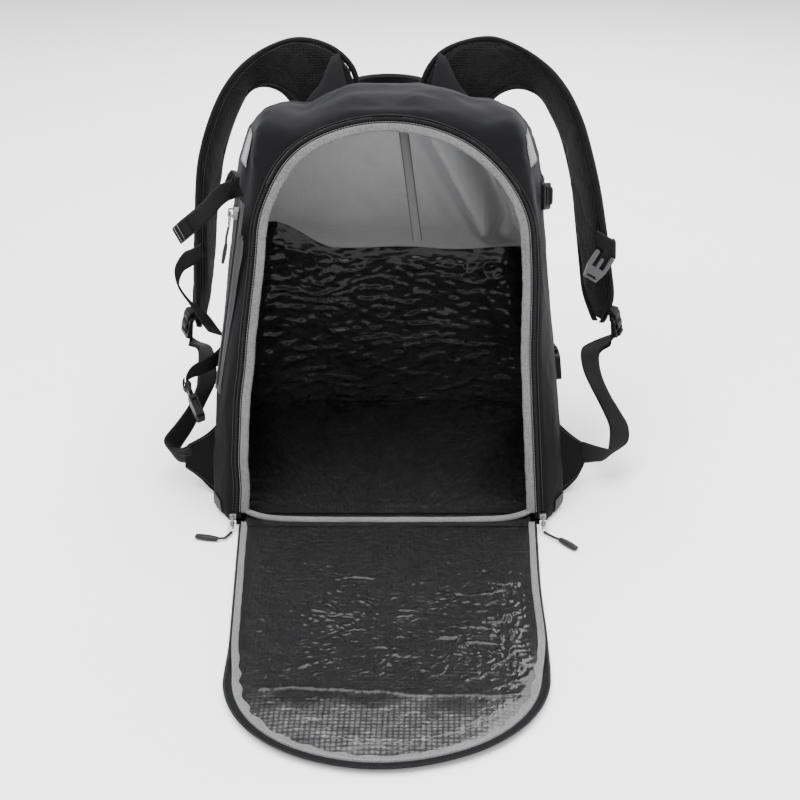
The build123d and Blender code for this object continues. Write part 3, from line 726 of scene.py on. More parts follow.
# ---- the bag's shell -----------------------------------------------------------------------------
# height, then half widths: left front edge, left widest, right front edge, right widest
SHELL = [
    (0.000, 0.160, 0.181, 0.161, 0.182),
    (0.060, 0.156, 0.180, 0.157, 0.178),
    (0.120, 0.152, 0.175, 0.153, 0.171),
    (0.220, 0.144, 0.160, 0.146, 0.160),
    (0.330, 0.135, 0.145, 0.137, 0.148),
    (0.375, 0.131, 0.138, 0.133, 0.141),
    (0.400, 0.127, 0.133, 0.130, 0.137),
    (0.425, 0.117, 0.122, 0.121, 0.127),
]
TOP = SHELL[-1][0]
CORNER_RUN = 0.045
BACK_Y = 0.150
RIDGE_Y, RIDGE_Z = -0.040, 0.419
WALL_X, WALL_LEAN = 0.185, 35 / 330  # the side walls lean inwards with the height


def widths(z):
    """Half widths of the shell at a height."""
    z = min(max(z, 0.0), TOP)
    i = min(max(bisect.bisect([row[0] for row in SHELL], z) - 1, 0), len(SHELL) - 2)
    low, high = SHELL[i], SHELL[i + 1]
    t = (z - low[0]) / (high[0] - low[0])
    return [a + (b - a) * t for a, b in zip(low[1:], high[1:])]


def face_y(z):
    """Depth of the leaning front face at a height."""
    return FRONT_Y + (z - HINGE_Z) * math.tan(TILT)


def on_face(p):
    """A point's way up the front face, and its distance out of it."""
    return (p.z - HINGE_Z) / cos(TILT), -(p.y - face_y(p.z)) * cos(TILT)


def top_z(y):
    """Height of the bag's top at a depth."""
    if y > RIDGE_Y:
        return RIDGE_Z - (y - RIDGE_Y) * 41 / 190
    return RIDGE_Z + (y - RIDGE_Y) * 11 / 25


def slump(x):
    """How far the bag's top drops towards its sides."""
    return 0.017 * ease(-x, 0.03, 0.085) + 0.019 * min(1.0, max(0.0, (x - 0.03) / 0.1))


def shell_corner(side, z):
    """The section's corner points on one side at a height, from the front edge to the back."""
    left_front, left_wide, right_front, right_wide = widths(z)
    near, far = (left_front, left_wide) if side < 0 else (right_front, right_wide)
    y = face_y(z)
    return [(near, y), (far, y + CORNER_RUN), (far, 0.112), (far - 0.030, BACK_Y)]


hull = bmesh.new()
for side in (-1, 1):
    for corner in range(4):
        z = 0.0
        while z < TOP:
            x, y = shell_corner(side, z)[corner]
            if z > top_z(y) - 0.002:
                break
            hull.verts.new((side * x, y, z))
            z += 0.01
        hull.verts.new((side * x, y, top_z(y) - 0.002))
    hull.verts.new((side * widths(0.417)[0], -0.040, 0.417))
bmesh.ops.convex_hull(hull, input=hull.verts)
loose = [v for v in hull.verts if not v.link_faces]
bmesh.ops.delete(hull, geom=loose, context="VERTS")
bmesh.ops.recalc_face_normals(hull, faces=hull.faces)
shell_mesh = bpy.data.meshes.new("bag_shell")
hull.to_mesh(shell_mesh)
hull.free()
shell_mesh.materials.append(M["shell_fabric"].mat)
shell = bpy.data.objects.new("bag_shell", shell_mesh)
scene.collection.objects.link(shell)


def seam_hold(p):
    """Cloth is held where the shell has a seam, a stiffener or a fitting."""
    if p.z < 0.012 or p.y > BACK_Y - 0.004:
        return 1.0
    up, out = on_face(p)
    if out > -0.006 and arch_grow(p.x, up) < 0.012:
        return 1.0
    side = -1 if p.x < 0 else 1
    corners = shell_corner(side, p.z)
    near = min(math.hypot(abs(p.x) - x, p.y - y) for x, y in (corners[0], corners[3]))
    return max(0.0, 1.0 - near / 0.010) * 0.9


inflate(shell, 0.006, 3.0, 0.005, seam_hold, 16)
subdivide(shell)


def shell_sculpt(p):
    """Wrinkles and sag of the fabric, in and out along its normal."""
    up, out = on_face(p)
    grow = arch_grow(p.x, up)
    at_front = ease(out, -0.012, -0.004)
    free = 1.0 - at_front * (1.0 - ease(grow, 0.006, 0.030))
    free *= 1.0 - ease(p.y, 0.138, 0.148)
    free *= ease(p.z, 0.004, 0.03)
    long_folds = wobble((p.x * 1.0, p.y * 1.5, p.z * 0.55), 22, 3.0)
    small = crease((p.x, p.y * 1.3, p.z * 0.8), 26, 9.0)
    fine = wobble(p, 90, 5.0)
    lift = free * (0.0018 * long_folds + 0.0006 * small * small + 0.00025 * fine)
    # the top sinks a little between the strap roots and the corners
    top = ease(p.z, 0.36, 0.40) * (1.0 - ease(out, -0.045, -0.015))
    return lift - top * 0.004 * math.exp(-(((abs(p.x) - 0.085) / 0.016) ** 2))


sculpt(shell, shell_sculpt)
for vertex in shell.data.vertices:
    drop = slump(vertex.co.x) * ease(vertex.co.z, 0.335, 0.395)
    vertex.co.y -= drop * math.tan(TILT) * (1 - ease(vertex.co.y - face_y(vertex.co.z), 0.006, 0.03))
    vertex.co.z -= drop
    if vertex.co.z < 0.0035:
        vertex.co.z = max(0.0004, vertex.co.z * 0.4)

# the cloth stays flat under the right buckle and along the way of its prongs
FLAT_Y, FLAT_Z, FLAT_FADE, FLAT_RISE = (-0.022, 0.050), (0.100, 0.132), 0.034, 0.008
for vertex in shell.data.vertices:
    co = vertex.co
    beside, above = max(FLAT_Y[0] - co.y, 0, co.y - FLAT_Y[1]), max(FLAT_Z[0] - co.z, 0, co.z - FLAT_Z[1])
    rise = FLAT_RISE * ease(math.hypot(beside, above), 0, FLAT_FADE)
    co.x = min(co.x, WALL_X - WALL_LEAN * co.z - 0.0003 + rise)

SHELL_EDGE = 0.0052  # the shell stops just outside the zip tape


def cut_opening(obj):
    """Remove the shell inside the zip's outline and draw its rim onto the outline."""
    bm = bmesh.new()
    bm.from_mesh(obj.data)
    doomed = []
    for face in bm.faces:
        centre = face.calc_center_median()
        up, out = on_face(centre)
        if out > -0.0075 and arch_grow(centre.x, max(up, 0.0)) < SHELL_EDGE and centre.z > 0.0042:
            doomed.append(face)
    bmesh.ops.delete(bm, geom=doomed, context="FACES")
    # keep the largest piece only
    seen, best = set(), []
    for start in bm.verts:
        if start in seen:
            continue
        stack, group = [start], []
        seen.add(start)
        while stack:
            v = stack.pop()
            group.append(v)
            for e in v.link_edges:
                o = e.other_vert(v)
                if o not in seen:
                    seen.add(o)
                    stack.append(o)
        if len(group) > len(best):
            best = group
    keep = set(best)
    bmesh.ops.delete(bm, geom=[v for v in bm.verts if v not in keep], context="VERTS")
    rim = [v for v in bm.verts if any(e.is_boundary for e in v.link_edges)]
    nearest = arch_path(0.001, -0.006)

    def miss(outline):
        x, u, nx, nu, _ = outline
        return (x + nx * SHELL_EDGE - v.co.x) ** 2 + (u + nu * SHELL_EDGE - up) ** 2

    for v in rim:
        up, _ = on_face(v.co)
        if v.co.z < 0.006:
            v.co.y = face_y(v.co.z) + 0.0045
            continue
        x, u, nx, nu, _ = min(nearest, key=miss)
        v.co = front(x + nx * SHELL_EDGE, u + nu * SHELL_EDGE, -0.0008)
    bm.to_mesh(obj.data)
    bm.free()


cut_opening(shell)
shell_tree = BVHTree.FromObject(shell, bpy.context.evaluated_depsgraph_get())
thicken = shell.modifiers.new("wall", "SOLIDIFY")
thicken.thickness = 0.0026
thicken.offset = -1
thicken.use_rim = True
bake(shell)
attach(shell, "bag")
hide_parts("front_frame", "left_side_panel", "right_side_panel", "top_panel", "base_panel", "back_panel")


def on_shell(p, way, lift=0.0005):
    """The point of the shell first met from outside along `way`, lifted off it, and its normal."""
    origin = Vector(p) - Vector(way) * 0.06
    hit, normal, _, _ = shell_tree.ray_cast(origin, Vector(way), 0.12)
    if hit is None:
        return Vector(p), -Vector(way)
    if normal.dot(Vector(way)) > 0:
        normal = -normal
    return hit + normal * lift, normal


# ---- linings -------------------------------------------------------------------------------------
INSET = 0.0085
LINING_BACK = 0.1338


def lining_section(z):
    """U-shaped inner section at a height, from the left front edge round the back to the right."""
    left_front, left_wide, right_front, right_wide = (w - INSET for w in widths(z))
    y = face_y(z) + 0.0065
    corner = y + CORNER_RUN
    line = [(-left_front, y), (-left_wide, corner), (-left_wide, 0.098), (-left_wide + 0.026, LINING_BACK)]
    line += [(0, LINING_BACK)]
    line += [(right_wide - 0.026, LINING_BACK), (right_wide, 0.098), (right_wide, corner), (right_front, y)]
    for _ in range(3):
        cut = [line[0]]
        for a, b in zip(line, line[1:]):
            cut.append((a[0] * 0.75 + b[0] * 0.25, a[1] * 0.75 + b[1] * 0.25))
            cut.append((a[0] * 0.25 + b[0] * 0.75, a[1] * 0.25 + b[1] * 0.75))
        cut.append(line[-1])
        line = cut
    return line


def resample(line, count):
    """A 2-D line at evenly spaced points."""
    lengths = [0.0]
    for a, b in zip(line, line[1:]):
        lengths.append(lengths[-1] + math.hypot(b[0] - a[0], b[1] - a[1]))
    out = []
    for k in range(count):
        at = lengths[-1] * k / (count - 1)
        i = min(bisect.bisect(lengths, at), len(line) - 1)
        t = (at - lengths[i - 1]) / (lengths[i] - lengths[i - 1])
        (ax, ay), (bx, by) = line[i - 1], line[i]
        out.append((ax + (bx - ax) * t, ay + (by - ay) * t))
    return out


FLOOR_Z = CEILING_GAP = 0.0095
COLS = 240


def seam_z(x, y):
    """Height where the black tub meets the grey upper lining."""
    rise = 0.20 + 0.35 * (LINING_BACK - y)
    return rise + 0.03 * ease(-x, 0.06, 0.13) + 0.004 * wobble((x, y, 0), 14, 2.0)


def lining_rows(low, high, count):
    """Rows of the lining's wall between two height functions of (x, y)."""
    base = resample(lining_section(0.2), COLS)
    rows = []
    for j in range(count + 1):
        row = []
        for i in range(COLS):
            x, y = base[i]
            z = low(x, y) + (high(x, y) - low(x, y)) * j / count
            for _ in range(2):
                x, y = section_at(z)[i]
                z = low(x, y) + (high(x, y) - low(x, y)) * j / count
            row.append(Vector((x, y, z)))
        rows.append(row)
    return rows


section_store = {}


def section_at(z):
    """The lining's section at a height, to the nearest 2 mm, as evenly spaced points."""
    key = round(z * 500)
    if key not in section_store:
        section_store[key] = resample(lining_section(key / 500), COLS)
    return section_store[key]


def ceiling(x, y):
    """Height of the lining's ceiling."""
    return top_z(y) - CEILING_GAP - slump(x) - 0.006 * ease(abs(x), 0.07, 0.125)


def cover_rows(wall_row, count, height):
    """Rows from a wall's edge to the front line, closing the floor or the ceiling."""
    first, last = wall_row[0], wall_row[-1]
    rows = []
    for k in range(1, count + 1):
        t = k / count
        row = []
        for i, p in enumerate(wall_row):
            goal = first.lerp(last, i / (len(wall_row) - 1))
            q = p.lerp(goal, t)
            q.z = height(q.x, q.y)
            row.append(q)
        rows.append(row)
    return rows


def floor_z(x, y):
    return FLOOR_Z


tub_wall = lining_rows(floor_z, seam_z, 90)
tub = cover_rows(tub_wall[0], 44, floor_z)[::-1] + tub_wall


def lining_push(rows, amount):
    """Move a grid of points along its own normals, towards the inside of the bag."""
    out = []
    for j, row in enumerate(rows):
        line = []
        for i, p in enumerate(row):
            across = row[min(i + 1, len(row) - 1)] - row[max(i - 1, 0)]
            along = rows[min(j + 1, len(rows) - 1)][i] - rows[max(j - 1, 0)][i]
            normal = across.cross(along)
            if normal.length > 1e-12:
                normal.normalize()
                if normal.dot(Vector((0, -0.03, 0.18)) - p) < 0:
                    normal = -normal
                p = p + normal * amount(p)
            line.append(p)
        out.append(line)
    return out


def tub_crinkle(p):
    """Crinkles of the stiff black tub, calm at its rim and at the mouth."""
    big = wobble((p.x * 0.8, p.y, p.z * 1.2), 16, 4.0)
    fold = crease((p.x * 0.8, p.y, p.z * 1.9 + 0.01 * wobble(p, 25, 7.0)), 38, 1.0)
    fine = crease((p.x, p.y, p.z * 1.4), 85, 6.0)
    edge = ease(p.y - face_y(p.z), 0.006, 0.03)
    tiny = crease((p.x, p.y, p.z * 1.2), 170, 2.0)
    edge *= 0.25 + 0.75 * ease(seam_z(p.x, p.y) - p.z, 0.002, 0.02)
    return 0.0016 + edge * (0.0012 + 0.0020 * big + 0.0012 * fold * fold + 0.0011 * fine * fine + 0.0004 * tiny)


tub_rows = lining_push(tub, tub_crinkle)
grid("lower_lining_cloth", tub_rows, "lining_black", "bag", "lining_black", ("lower_lining",))


def drape(p):
    """Soft folds of the grey lining, with one long fold falling to the right of the tape."""
    soft = wobble((p.x * 0.7, p.y, p.z * 0.9), 13, 8.0)
    lift = 0.003 + 0.0032 * soft + 0.0007 * wobble(p, 45, 3.0)
    if p.y > 0.06:
        a, b = Vector((0.026, 0.352)), Vector((0.122, 0.190))
        way = (b - a).normalized()
        rel = Vector((p.x, p.z)) - a
        off = rel.x * -way.y + rel.y * way.x  # to the right of the fold and above it
        run = rel.dot(way) / (b - a).length
        reach = ease(run, -0.12, 0.22) * (1 - ease(run, 0.9, 1.15))
        ridge = math.exp(-((off - 0.008) / (0.009 if off < 0.008 else 0.034)) ** 2)
        lift += reach * 0.036 * ridge
        for place, width, depth in ((-0.016, 0.010, -0.004), (0.042, 0.008, -0.013), (0.062, 0.010, 0.007)):
            lift += reach * depth * math.exp(-(((off - place) / width) ** 2))
    side = ease(p.x, 0.09, 0.12) * ease(p.y, -0.02, 0.10)
    lift += side * 0.004 * (1 + wobble((p.x, p.y * 2, p.z * 0.6), 20, 1.0))
    edge = ease(p.y - face_y(p.z), 0.006, 0.03) * ease(p.z - seam_z(p.x, p.y), 0.0, 0.03)
    return 0.0006 + lift * edge


upper_wall = lining_rows(lambda x, y: seam_z(x, y) - 0.004, ceiling, 80)
upper = upper_wall + cover_rows(upper_wall[-1], 40, ceiling)
upper_rows = lining_push(upper, drape)
upper_lining = grid("upper_lining_cloth", upper_rows, "lining_grey", "bag", "lining_grey", ("upper_lining",))
lining_tree = BVHTree.FromObject(upper_lining, bpy.context.evaluated_depsgraph_get())


def on_back(x, z, lift):
    """A point on the inner back wall's lining, seen from the front."""
    hit, normal, _, _ = lining_tree.ray_cast(Vector((x, -0.03, z)), Vector((0, 1, 0)), 0.3)
    if hit is None:
        return Vector((x, LINING_BACK - lift, z))
    return hit + Vector((0, -lift, 0))


tape_rows = []
for j in range(41):
    t = j / 40
    x, z = 0.0145 + 0.0175 * t, 0.345 - 0.137 * t
    spots = (-1, -0.9, -0.5, 0, 0.5, 0.9, 1)
    tape_rows.append([on_back(x + c * 0.0052, z, 0.0014 - 0.0009 * abs(c) ** 3) for c in spots])
grid("lining_seam_tape_cloth", tape_rows, "seam_tape", "bag", "binding_grey", ("lining_seam_tape",))
tape_stitches = []
for c in (1, 5):
    line = [row[c] + Vector((0, -0.0004, 0)) for row in tape_rows]
    tape_stitches += stitch_frames(line, Vector((0, -1, 0)))
sew("lining_seam_tape_stitches", tape_stitches, "binding_grey", 0.0024, 0.00045)

# ---- rim of the opening: binding, zip tape and coil ----------------------------------------------
def pucker(length, g, h, x, up):
    """Gathers of the binding, stronger on its free inner edge."""
    free = ease(-g, 0.003, 0.009)
    g += free * (0.0005 * wobble((length, 0, 0), 90, 1.0) + 0.0004 * wobble((length, 3, 0), 260, 2.0))
    h += 0.0002 * wobble((length, g * 4, 0), 160, 5.0) + 0.00015 * wobble((length, g * 6, 0), 420, 6.0)
    return g, h


ARCH_TOP = [row for row in ARCH if row[1] > 0.006]
FACE_OUT = Vector((0, -cos(TILT), sin(TILT)))
arch_band(
    "opening_binding_tape", front, pill(-0.0090, -0.0006, -0.0044, -0.0002), "binding_grey", "bag", "binding_grey",
    ("opening_binding",), ARCH_TOP, pucker,
)
arch_band(
    "body_zip_tape_cloth", front, pill(-0.0010, 0.0050, -0.0032, -0.0018, 3), "zip_tape", "bag", "zip_tape",
    ("body_zip_tape",), ARCH,
)


def coil_frames(surface, path, g, h, pitch, lean=0.18):
    """Frames of zip teeth: one bar across the chain at every pitch."""
    points, ups = [], []
    for x, up, nx, nu, _ in path:
        points.append(surface(x + nx * g, up + nu * g, h))
        ups.append(surface(x + nx * g, up + nu * g, h + 0.001) - points[-1])
    frames = []
    for p, way, up in stitch_frames(points, [u.normalized() for u in ups], pitch):
        across = up.cross(way).normalized()
        frames.append((p, (across + way * lean).normalized(), up))
    return frames


COIL = 0.0016  # pitch of the front zip's coil
frames = coil_frames(front, ARCH, 0.0036, -0.0004, COIL)
studs("body_zip_coil", frames, 0.0027, 0.00058, "zip_coil", "bag", ("body_zip_teeth",))
for number, (g, h, mat) in enumerate(((0.0005, -0.0014, "thread_pale"), (0.0072, 0.0002, "thread"))):
    line = [front(x + nx * g, up + nu * g, h) for x, up, nx, nu, _ in ARCH_TOP[::2]]
    if number:
        line = [on_shell(p, -FACE_OUT, 0.0003)[0] for p in line]
    sew(f"opening_stitches_{number}", stitch_frames(line, FACE_OUT, 0.0030), "binding_grey", *FINE, mat)

for name in (
    "bag_shell", "lower_lining_cloth", "upper_lining_cloth", "lining_seam_tape_cloth", "lining_seam_tape_stitches",
    "opening_binding_tape", "body_zip_tape_cloth", "body_zip_coil", "opening_stitches_0", "opening_stitches_1",
):
    settle(bpy.data.objects[name])

# ---- flap, lying open ----------------------------------------------------------------------------
def curved_end(up):
    """0 along the flap's straight sides, 1 round its far end."""
    return ease(up, 0.215, 0.29)


def loosen(x, run):
    """The open flap's edge is not taut: it spreads a little to the right and at its far left."""
    dx = 0.0040 * math.exp(-(((run - 0.225) / 0.07) ** 2)) * ease(x, 0.0, 0.12)
    far = ease(run, 0.30, 0.39)
    return x + dx - 0.002 * far, run + far * (0.0022 + 0.0012 * sin(x * 30 + 2.0))


def flap_out(x, run, high):
    """A point of the open flap, with the looseness of its edge."""
    x, run = loosen(x, run)
    return flap(x, run, high)


FLAP_FOOT = 0.0050
FLAP_PATH = arch_path(0.002, FLAP_FOOT)


def flap_ring(grow):
    """Closed outline of the flap at an offset, straight across the hinge side."""
    ring = [(x + nx * grow, max(up + nu * grow, FLAP_FOOT)) for x, up, nx, nu, _ in FLAP_PATH]
    a, b = ring[-1], ring[0]
    count = 120
    for k in range(1, count):
        t = k / count
        ring.append((a[0] + (b[0] - a[0]) * t, FLAP_FOOT))
    return ring


def flap_disc(name, grow, high, rings, mat, replaces=()):
    """A sheet filling the flap's outline: rings shrink towards the middle; `high` is its height."""
    outline = flap_ring(grow)
    centre = (0.0, 0.19)
    verts, uvs, faces = [], [], []
    count = len(outline)
    for k in range(rings, 0, -1):
        t = k / rings
        for x, run in outline:
            px, pr = centre[0] + (x - centre[0]) * t, centre[1] + (run - centre[1]) * t
            verts.append(flap_out(px, pr, high(px, pr)))
            uvs.append((px, pr))
    verts.append(flap_out(*centre, high(*centre)))
    uvs.append(centre)
    for j in range(rings - 1):
        for i in range(count):
            n = (i + 1) % count
            faces.append((j * count + i, (j + 1) * count + i, (j + 1) * count + n, j * count + n))
    last = (rings - 1) * count
    for i in range(count):
        faces.append((last + i, len(verts) - 1, last + (i + 1) % count))
    return make(name, verts, faces, mat, "flap", uvs, replaces)


def flap_crinkle(x, run):
    """Height of the crinkled tarp: short broken folds, sharp creases and one long fold near the end."""
    edge = ease(-arch_grow(x, run), 0.008, 0.030) * ease(run, 0.004, 0.02)
    bend = 0.012 * wobble((x, run, 0), 20, 6.0)
    broad = wobble((x * 0.8, run * 1.2, 0), 14, 2.0)
    folds = crease((x * 0.55, run + bend, 0), 58, 3.0) * (0.4 + 0.9 * abs(wobble((x, run, 0), 18, 5.0)))
    short = crease((x * 0.8, run + bend, 0.3), 130, 7.0)
    cross = crease((x + bend, run * 0.6, 0.3), 75, 4.0)
    tiny = crease((x * 0.7, run, 0.1), 290, 9.0)
    calm = 1.0 - 0.5 * ease(run, 0.25, 0.30)
    line = 0.298 + 0.006 * sin(x * 21) + 0.004 * wobble((x, 0, 0), 40, 1.0)
    long_fold = math.exp(-(((run - line) / 0.0024) ** 2)) * ease(x, -0.13, -0.10) * (1 - ease(x, 0.10, 0.13))
    rise = 0.0020 * ease(run, 0.26, 0.385) * ease(-arch_grow(x, run), 0.011, 0.03)
    fine = 0.0014 * folds ** 2 + 0.0007 * short ** 2 + 0.0004 * cross ** 3 + 0.00028 * tiny
    return 0.0061 + rise + edge * (0.0011 * broad + calm * fine + 0.0012 * long_fold)


flap_disc("flap_lining_cloth", -0.0065, flap_crinkle, 150, "flap_tarp", ("flap_lining",))


def flap_under(x, run):
    """Height of the flap's outer cloth, which lies on the floor and turns up at its edge."""
    edge = ease(-arch_grow(x, run), 0.0, 0.012)
    return 0.0028 * (1 - edge) + 0.0004 + 0.0003 * (1 + wobble((x, run, 0), 30, 4.0))


under = flap_disc("flap_shell_cloth", -0.0012, flap_under, 60, "shell_fabric", ("flap_shell",))
under.data.flip_normals()


def flap_side(name, profile, mat, slot, replaces=(), warp=None):
    """A band round the flap's edge."""
    return arch_band(name, flap_out, profile, mat, "flap", slot, replaces, FLAP_PATH, warp)


# the shell turns up round the pad's edge
flap_side("flap_edge_roll", pill(-0.0060, -0.0008, 0.0022, 0.0062), "shell_fabric", "shell_fabric")
pad = flap_disc("flap_foam_pad", -0.0085, lambda x, run: 0.0052, 12, "foam", ("flap_foam",))
thick = pad.modifiers.new("thick", "SOLIDIFY")
thick.thickness = 0.0034
thick.offset = 1
bake(pad)


def flap_binding_warp(length, g, h, x, up):
    """Along the sides the band rolls over the zip; round the end it gathers into waves."""
    end = curved_end(up)
    inner = ease(-g, 0.006, 0.012)
    g += (1 - end) * (0.0028 * (1 - inner) + 0.0042 * inner)
    wave = 0.0014 * sin(length * 230 + 2.2 * wobble((length, 0, 0), 22, 3.0))
    wave += 0.0007 * wobble((length, 1, 0), 60, 1.0)
    g += inner * end * wave + inner * (1 - end) * 0.0004 * wobble((length, 0, 0), 70, 2.0)
    h += inner * end * 0.0003 * sin(length * 230 + 1.2) + 0.00012 * wobble((length, g * 5, 0), 380, 6.0)
    h -= (1 - end) * (1 - inner) * 0.0004
    return g, h


ring = pill(-0.0122, -0.0046, 0.0050, 0.0079)
flap_side("flap_binding_tape", ring, "binding_grey", "binding_grey", ("flap_binding",), flap_binding_warp)


def tuck(length, g, h, x, up):
    """The zip hangs under the band along the sides and shows round the end."""
    end = curved_end(up)
    return g - (1 - end) * 0.0016 + end * 0.0008, h - (1 - end) * 0.0024


ring = pill(-0.0062, 0.0000, 0.0052, 0.0066, 3)
flap_side("flap_zip_tape_cloth", ring, "zip_tape", "zip_tape", ("flap_zip_tape",), tuck)


def tucked(x, up, h):
    """A point of the flap's zip, which hangs lower along the sides."""
    return flap_out(x, up, h - (1 - curved_end(up)) * 0.0030)


chain = [(x - nx * 0.0022 * (1 - curved_end(up)), up, nx, nu, s) for x, up, nx, nu, s in FLAP_PATH]
frames = coil_frames(tucked, chain, 0.0016, 0.0068, COIL)
studs("flap_zip_coil", frames, 0.0030, 0.00060, "zip_coil", "flap", ("flap_zip_teeth",))
line = []
for x, up, nx, nu, _ in FLAP_PATH[::2]:
    g = -0.0056 + 0.0034 * (1 - curved_end(up))
    line.append(flap_out(x + nx * g, up + nu * g, 0.0081))
frames = stitch_frames(line, Vector((0, 0, 1)), 0.0030)
sew("flap_stitches", frames, "binding_grey", *FINE, "thread_pale", "flap")

hem = [flap_out(x - nx * 0.009, max(up - nu * 0.009, FLAP_FOOT), 0.0003) for x, up, nx, nu, _ in FLAP_PATH[::2]]
sew("flap_outer_stitches", stitch_frames(hem, Vector((0, 0, -1))), "shell_fabric", body="flap")

# ---- hinge ---------------------------------------------------------------------------------------
roll_rows = []
for j in range(121):
    t = -1 + 2 * j / 120
    x = 0.1462 * t
    z = 0.0076 + 0.0078 * abs(t) ** 9 + 0.0003 * wobble((x, 0, 0), 60, 1.0)
    y = AXIS_Y - 0.0018 * (1 - t * t) + 0.0080 * abs(t) ** 9
    row = []
    for k in range(14):
        a = 2 * pi * k / 14
        flat = 0.0046 + 0.0004 * wobble((x, a, 0), 40, 4.0)
        row.append(Vector((x, y + flat * cos(a) - 0.0006 * sin(a), z + 0.0030 * sin(a))))
    roll_rows.append(row)
nodes = ("hinge_binding",)
grid("hinge_binding_tape", roll_rows, "binding_grey", "bag", "binding_grey", nodes, ring=True, caps=True)
line = [Vector((row[3].x, row[3].y - 0.0006, row[3].z + 0.0002)) for row in roll_rows[4:-4]]
frames = stitch_frames(line, Vector((0, -0.2, 1)).normalized(), 0.0030)
sew("hinge_stitches", frames, "binding_grey", *FINE, "thread_pale")

gusset_rows = []
for j in range(25):
    t = j / 24
    y = -0.1425 - 0.0215 * t
    z = 0.0092 - 0.0022 * t
    ripples = [0.0003 * wobble((i * 0.003, y, 0), 90, 1.0) for i in range(91)]
    gusset_rows.append([Vector((-0.143 + 0.286 * i / 90, y, z + ripple)) for i, ripple in enumerate(ripples)])
gusset = grid("hinge_gusset", gusset_rows, "lining_black", None, "lining_black")
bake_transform(gusset)

# ---- corner patches ------------------------------------------------------------------------------
BANDS = (0.004, 0.017, 0.45, 0.95), (0.346, 0.376, 0.30, 0.95)
for number, (side, (low, high, start, end)) in enumerate((side, band) for side in (-1, 1) for band in BANDS):
    rows = []
    for j in range(9):
        z = low + (high - low) * j / 8
        (ax, ay), (bx, by) = shell_corner(side, z)[:2]
        way = Vector((-side * (by - ay), (bx - ax), 0)).normalized()
        spots = [start + (end - start) * i / 16 for i in range(17)]
        line = [Vector((side * (ax + (bx - ax) * t), ay + (by - ay) * t, z)) for t in spots]
        rows.append([on_shell(p, way, 0.0013)[0] for p in line])
    mat = "strip_grey" if low < 0.1 else "reflective_grey"
    nodes = () if number else ("corner_patches",)
    grid(f"corner_patch_{number}", rows, mat, "bag", "reflective_grey", nodes)
    edge = rows[0] + [r[-1] for r in rows[1:-1]] + rows[-1][::-1] + [r[0] for r in rows[1:-1]][::-1]
    inner = [p.lerp(sum(edge, Vector()) / len(edge), 0.09) - way * 0.0004 for p in edge]
    frames = stitch_frames(inner + inner[:1], -way)
    sew(f"corner_patch_stitches_{number}", frames, "reflective_grey", *FINE)

# ---- side pocket zip -----------------------------------------------------------------------------
POCKET_UP = Vector((0.164, 0, 1)).normalized()
POCKET_ACROSS = Vector((-0.326, 0.945, 0)).normalized()
POCKET_OUT = POCKET_UP.cross(POCKET_ACROSS).normalized()
POCKET_MID = Vector((-0.155, -0.081, 0.218))
POCKET_HALF = 0.101


def pocket(across, up, off):
    """A point at the side pocket: across its zip, up along it, and off the wall."""
    return POCKET_MID + POCKET_UP * up + POCKET_ACROSS * across + POCKET_OUT * off


WELT = (-0.0115, -0.0105, -0.0085, -0.0062, -0.0052, -0.003, 0, 0.003, 0.0052, 0.0062, 0.0085, 0.0105, 0.0115)
rows = []
for j in range(61):
    up = -POCKET_HALF + 2 * POCKET_HALF * j / 60
    row = []
    for a in WELT:
        hit, normal = on_shell(pocket(a, up, 0.002), -POCKET_OUT, 0.0007)
        low = (hit - pocket(a, up, 0)).dot(POCKET_OUT)
        high = 0.0026 if abs(a) < 0.0055 else 0.0034
        t = ease(abs(a), 0.0066, 0.0114)
        row.append(pocket(a, up, high * (1 - t) + low * t))
    rows.append(row)
grid("pocket_zip_welt", rows, "strip_grey", "bag", "zip_tape", ("pocket_zip_tape",))
path = [(0.0, -0.094 + 0.188 * k / 60, 1, 0, 0) for k in range(61)]
frames = coil_frames(pocket, path, 0.0, 0.0036, 0.0018)
studs("pocket_zip_coil", frames, 0.0044, 0.0007, "zip_coil", "bag", ("pocket_zip_teeth",))
for hand in (-1, 1):
    line = [row[6 + hand * 4] + POCKET_OUT * 0.0003 for row in rows]
    sew(f"pocket_stitches_{hand + 1}", stitch_frames(line, POCKET_OUT), "zip_tape", *FINE)

# ---- shoulder straps -----------------------------------------------------------------------------
LEFT_STRAP = [
    ((-30, 158, 366), (-102, 158, 345)),
    ((-38, 158, 398), (-105, 158, 356)),
    ((-62, 157, 421), (-117, 159, 370)),
    ((-97, 155, 430), (-132, 161, 376)),
    ((-130, 150, 421), (-146, 166, 374)),
    ((-157, 143, 403), (-158, 173, 365)),
    ((-178, 137, 378), (-168, 178, 348)),
    ((-194, 132, 345), (-178, 182, 325)),
    ((-206, 128, 306), (-188, 184, 295)),
    ((-211, 125, 270), (-195, 183, 262)),
    ((-213, 118, 226), (-201, 177, 222)),
    ((-214, 108, 180), (-205, 167, 176)),
    ((-215, 100, 145), (-209, 148, 141)),
    ((-216, 106, 122), (-212, 134, 119)),
]
RIGHT_STRAP = [
    ((30, 158, 366), (102, 158, 345)),
    ((42, 158, 398), (110, 158, 358)),
    ((64, 157, 420), (122, 159, 369)),
    ((105, 155, 431), (138, 161, 374)),
    ((137, 150, 423), (154, 166, 371)),
    ((168, 143, 404), (169, 173, 361)),
    ((191, 137, 379), (181, 178, 342)),
    ((209, 132, 345), (193, 182, 318)),
    ((221, 128, 308), (202, 184, 290)),
    ((231, 125, 270), (210, 183, 255)),
    ((238, 118, 233), (215, 177, 216)),
    ((246, 110, 185), (219, 160, 176)),
    ((250, 103, 152), (222, 144, 146)),
    ((244, 105, 128), (230, 132, 124)),
]


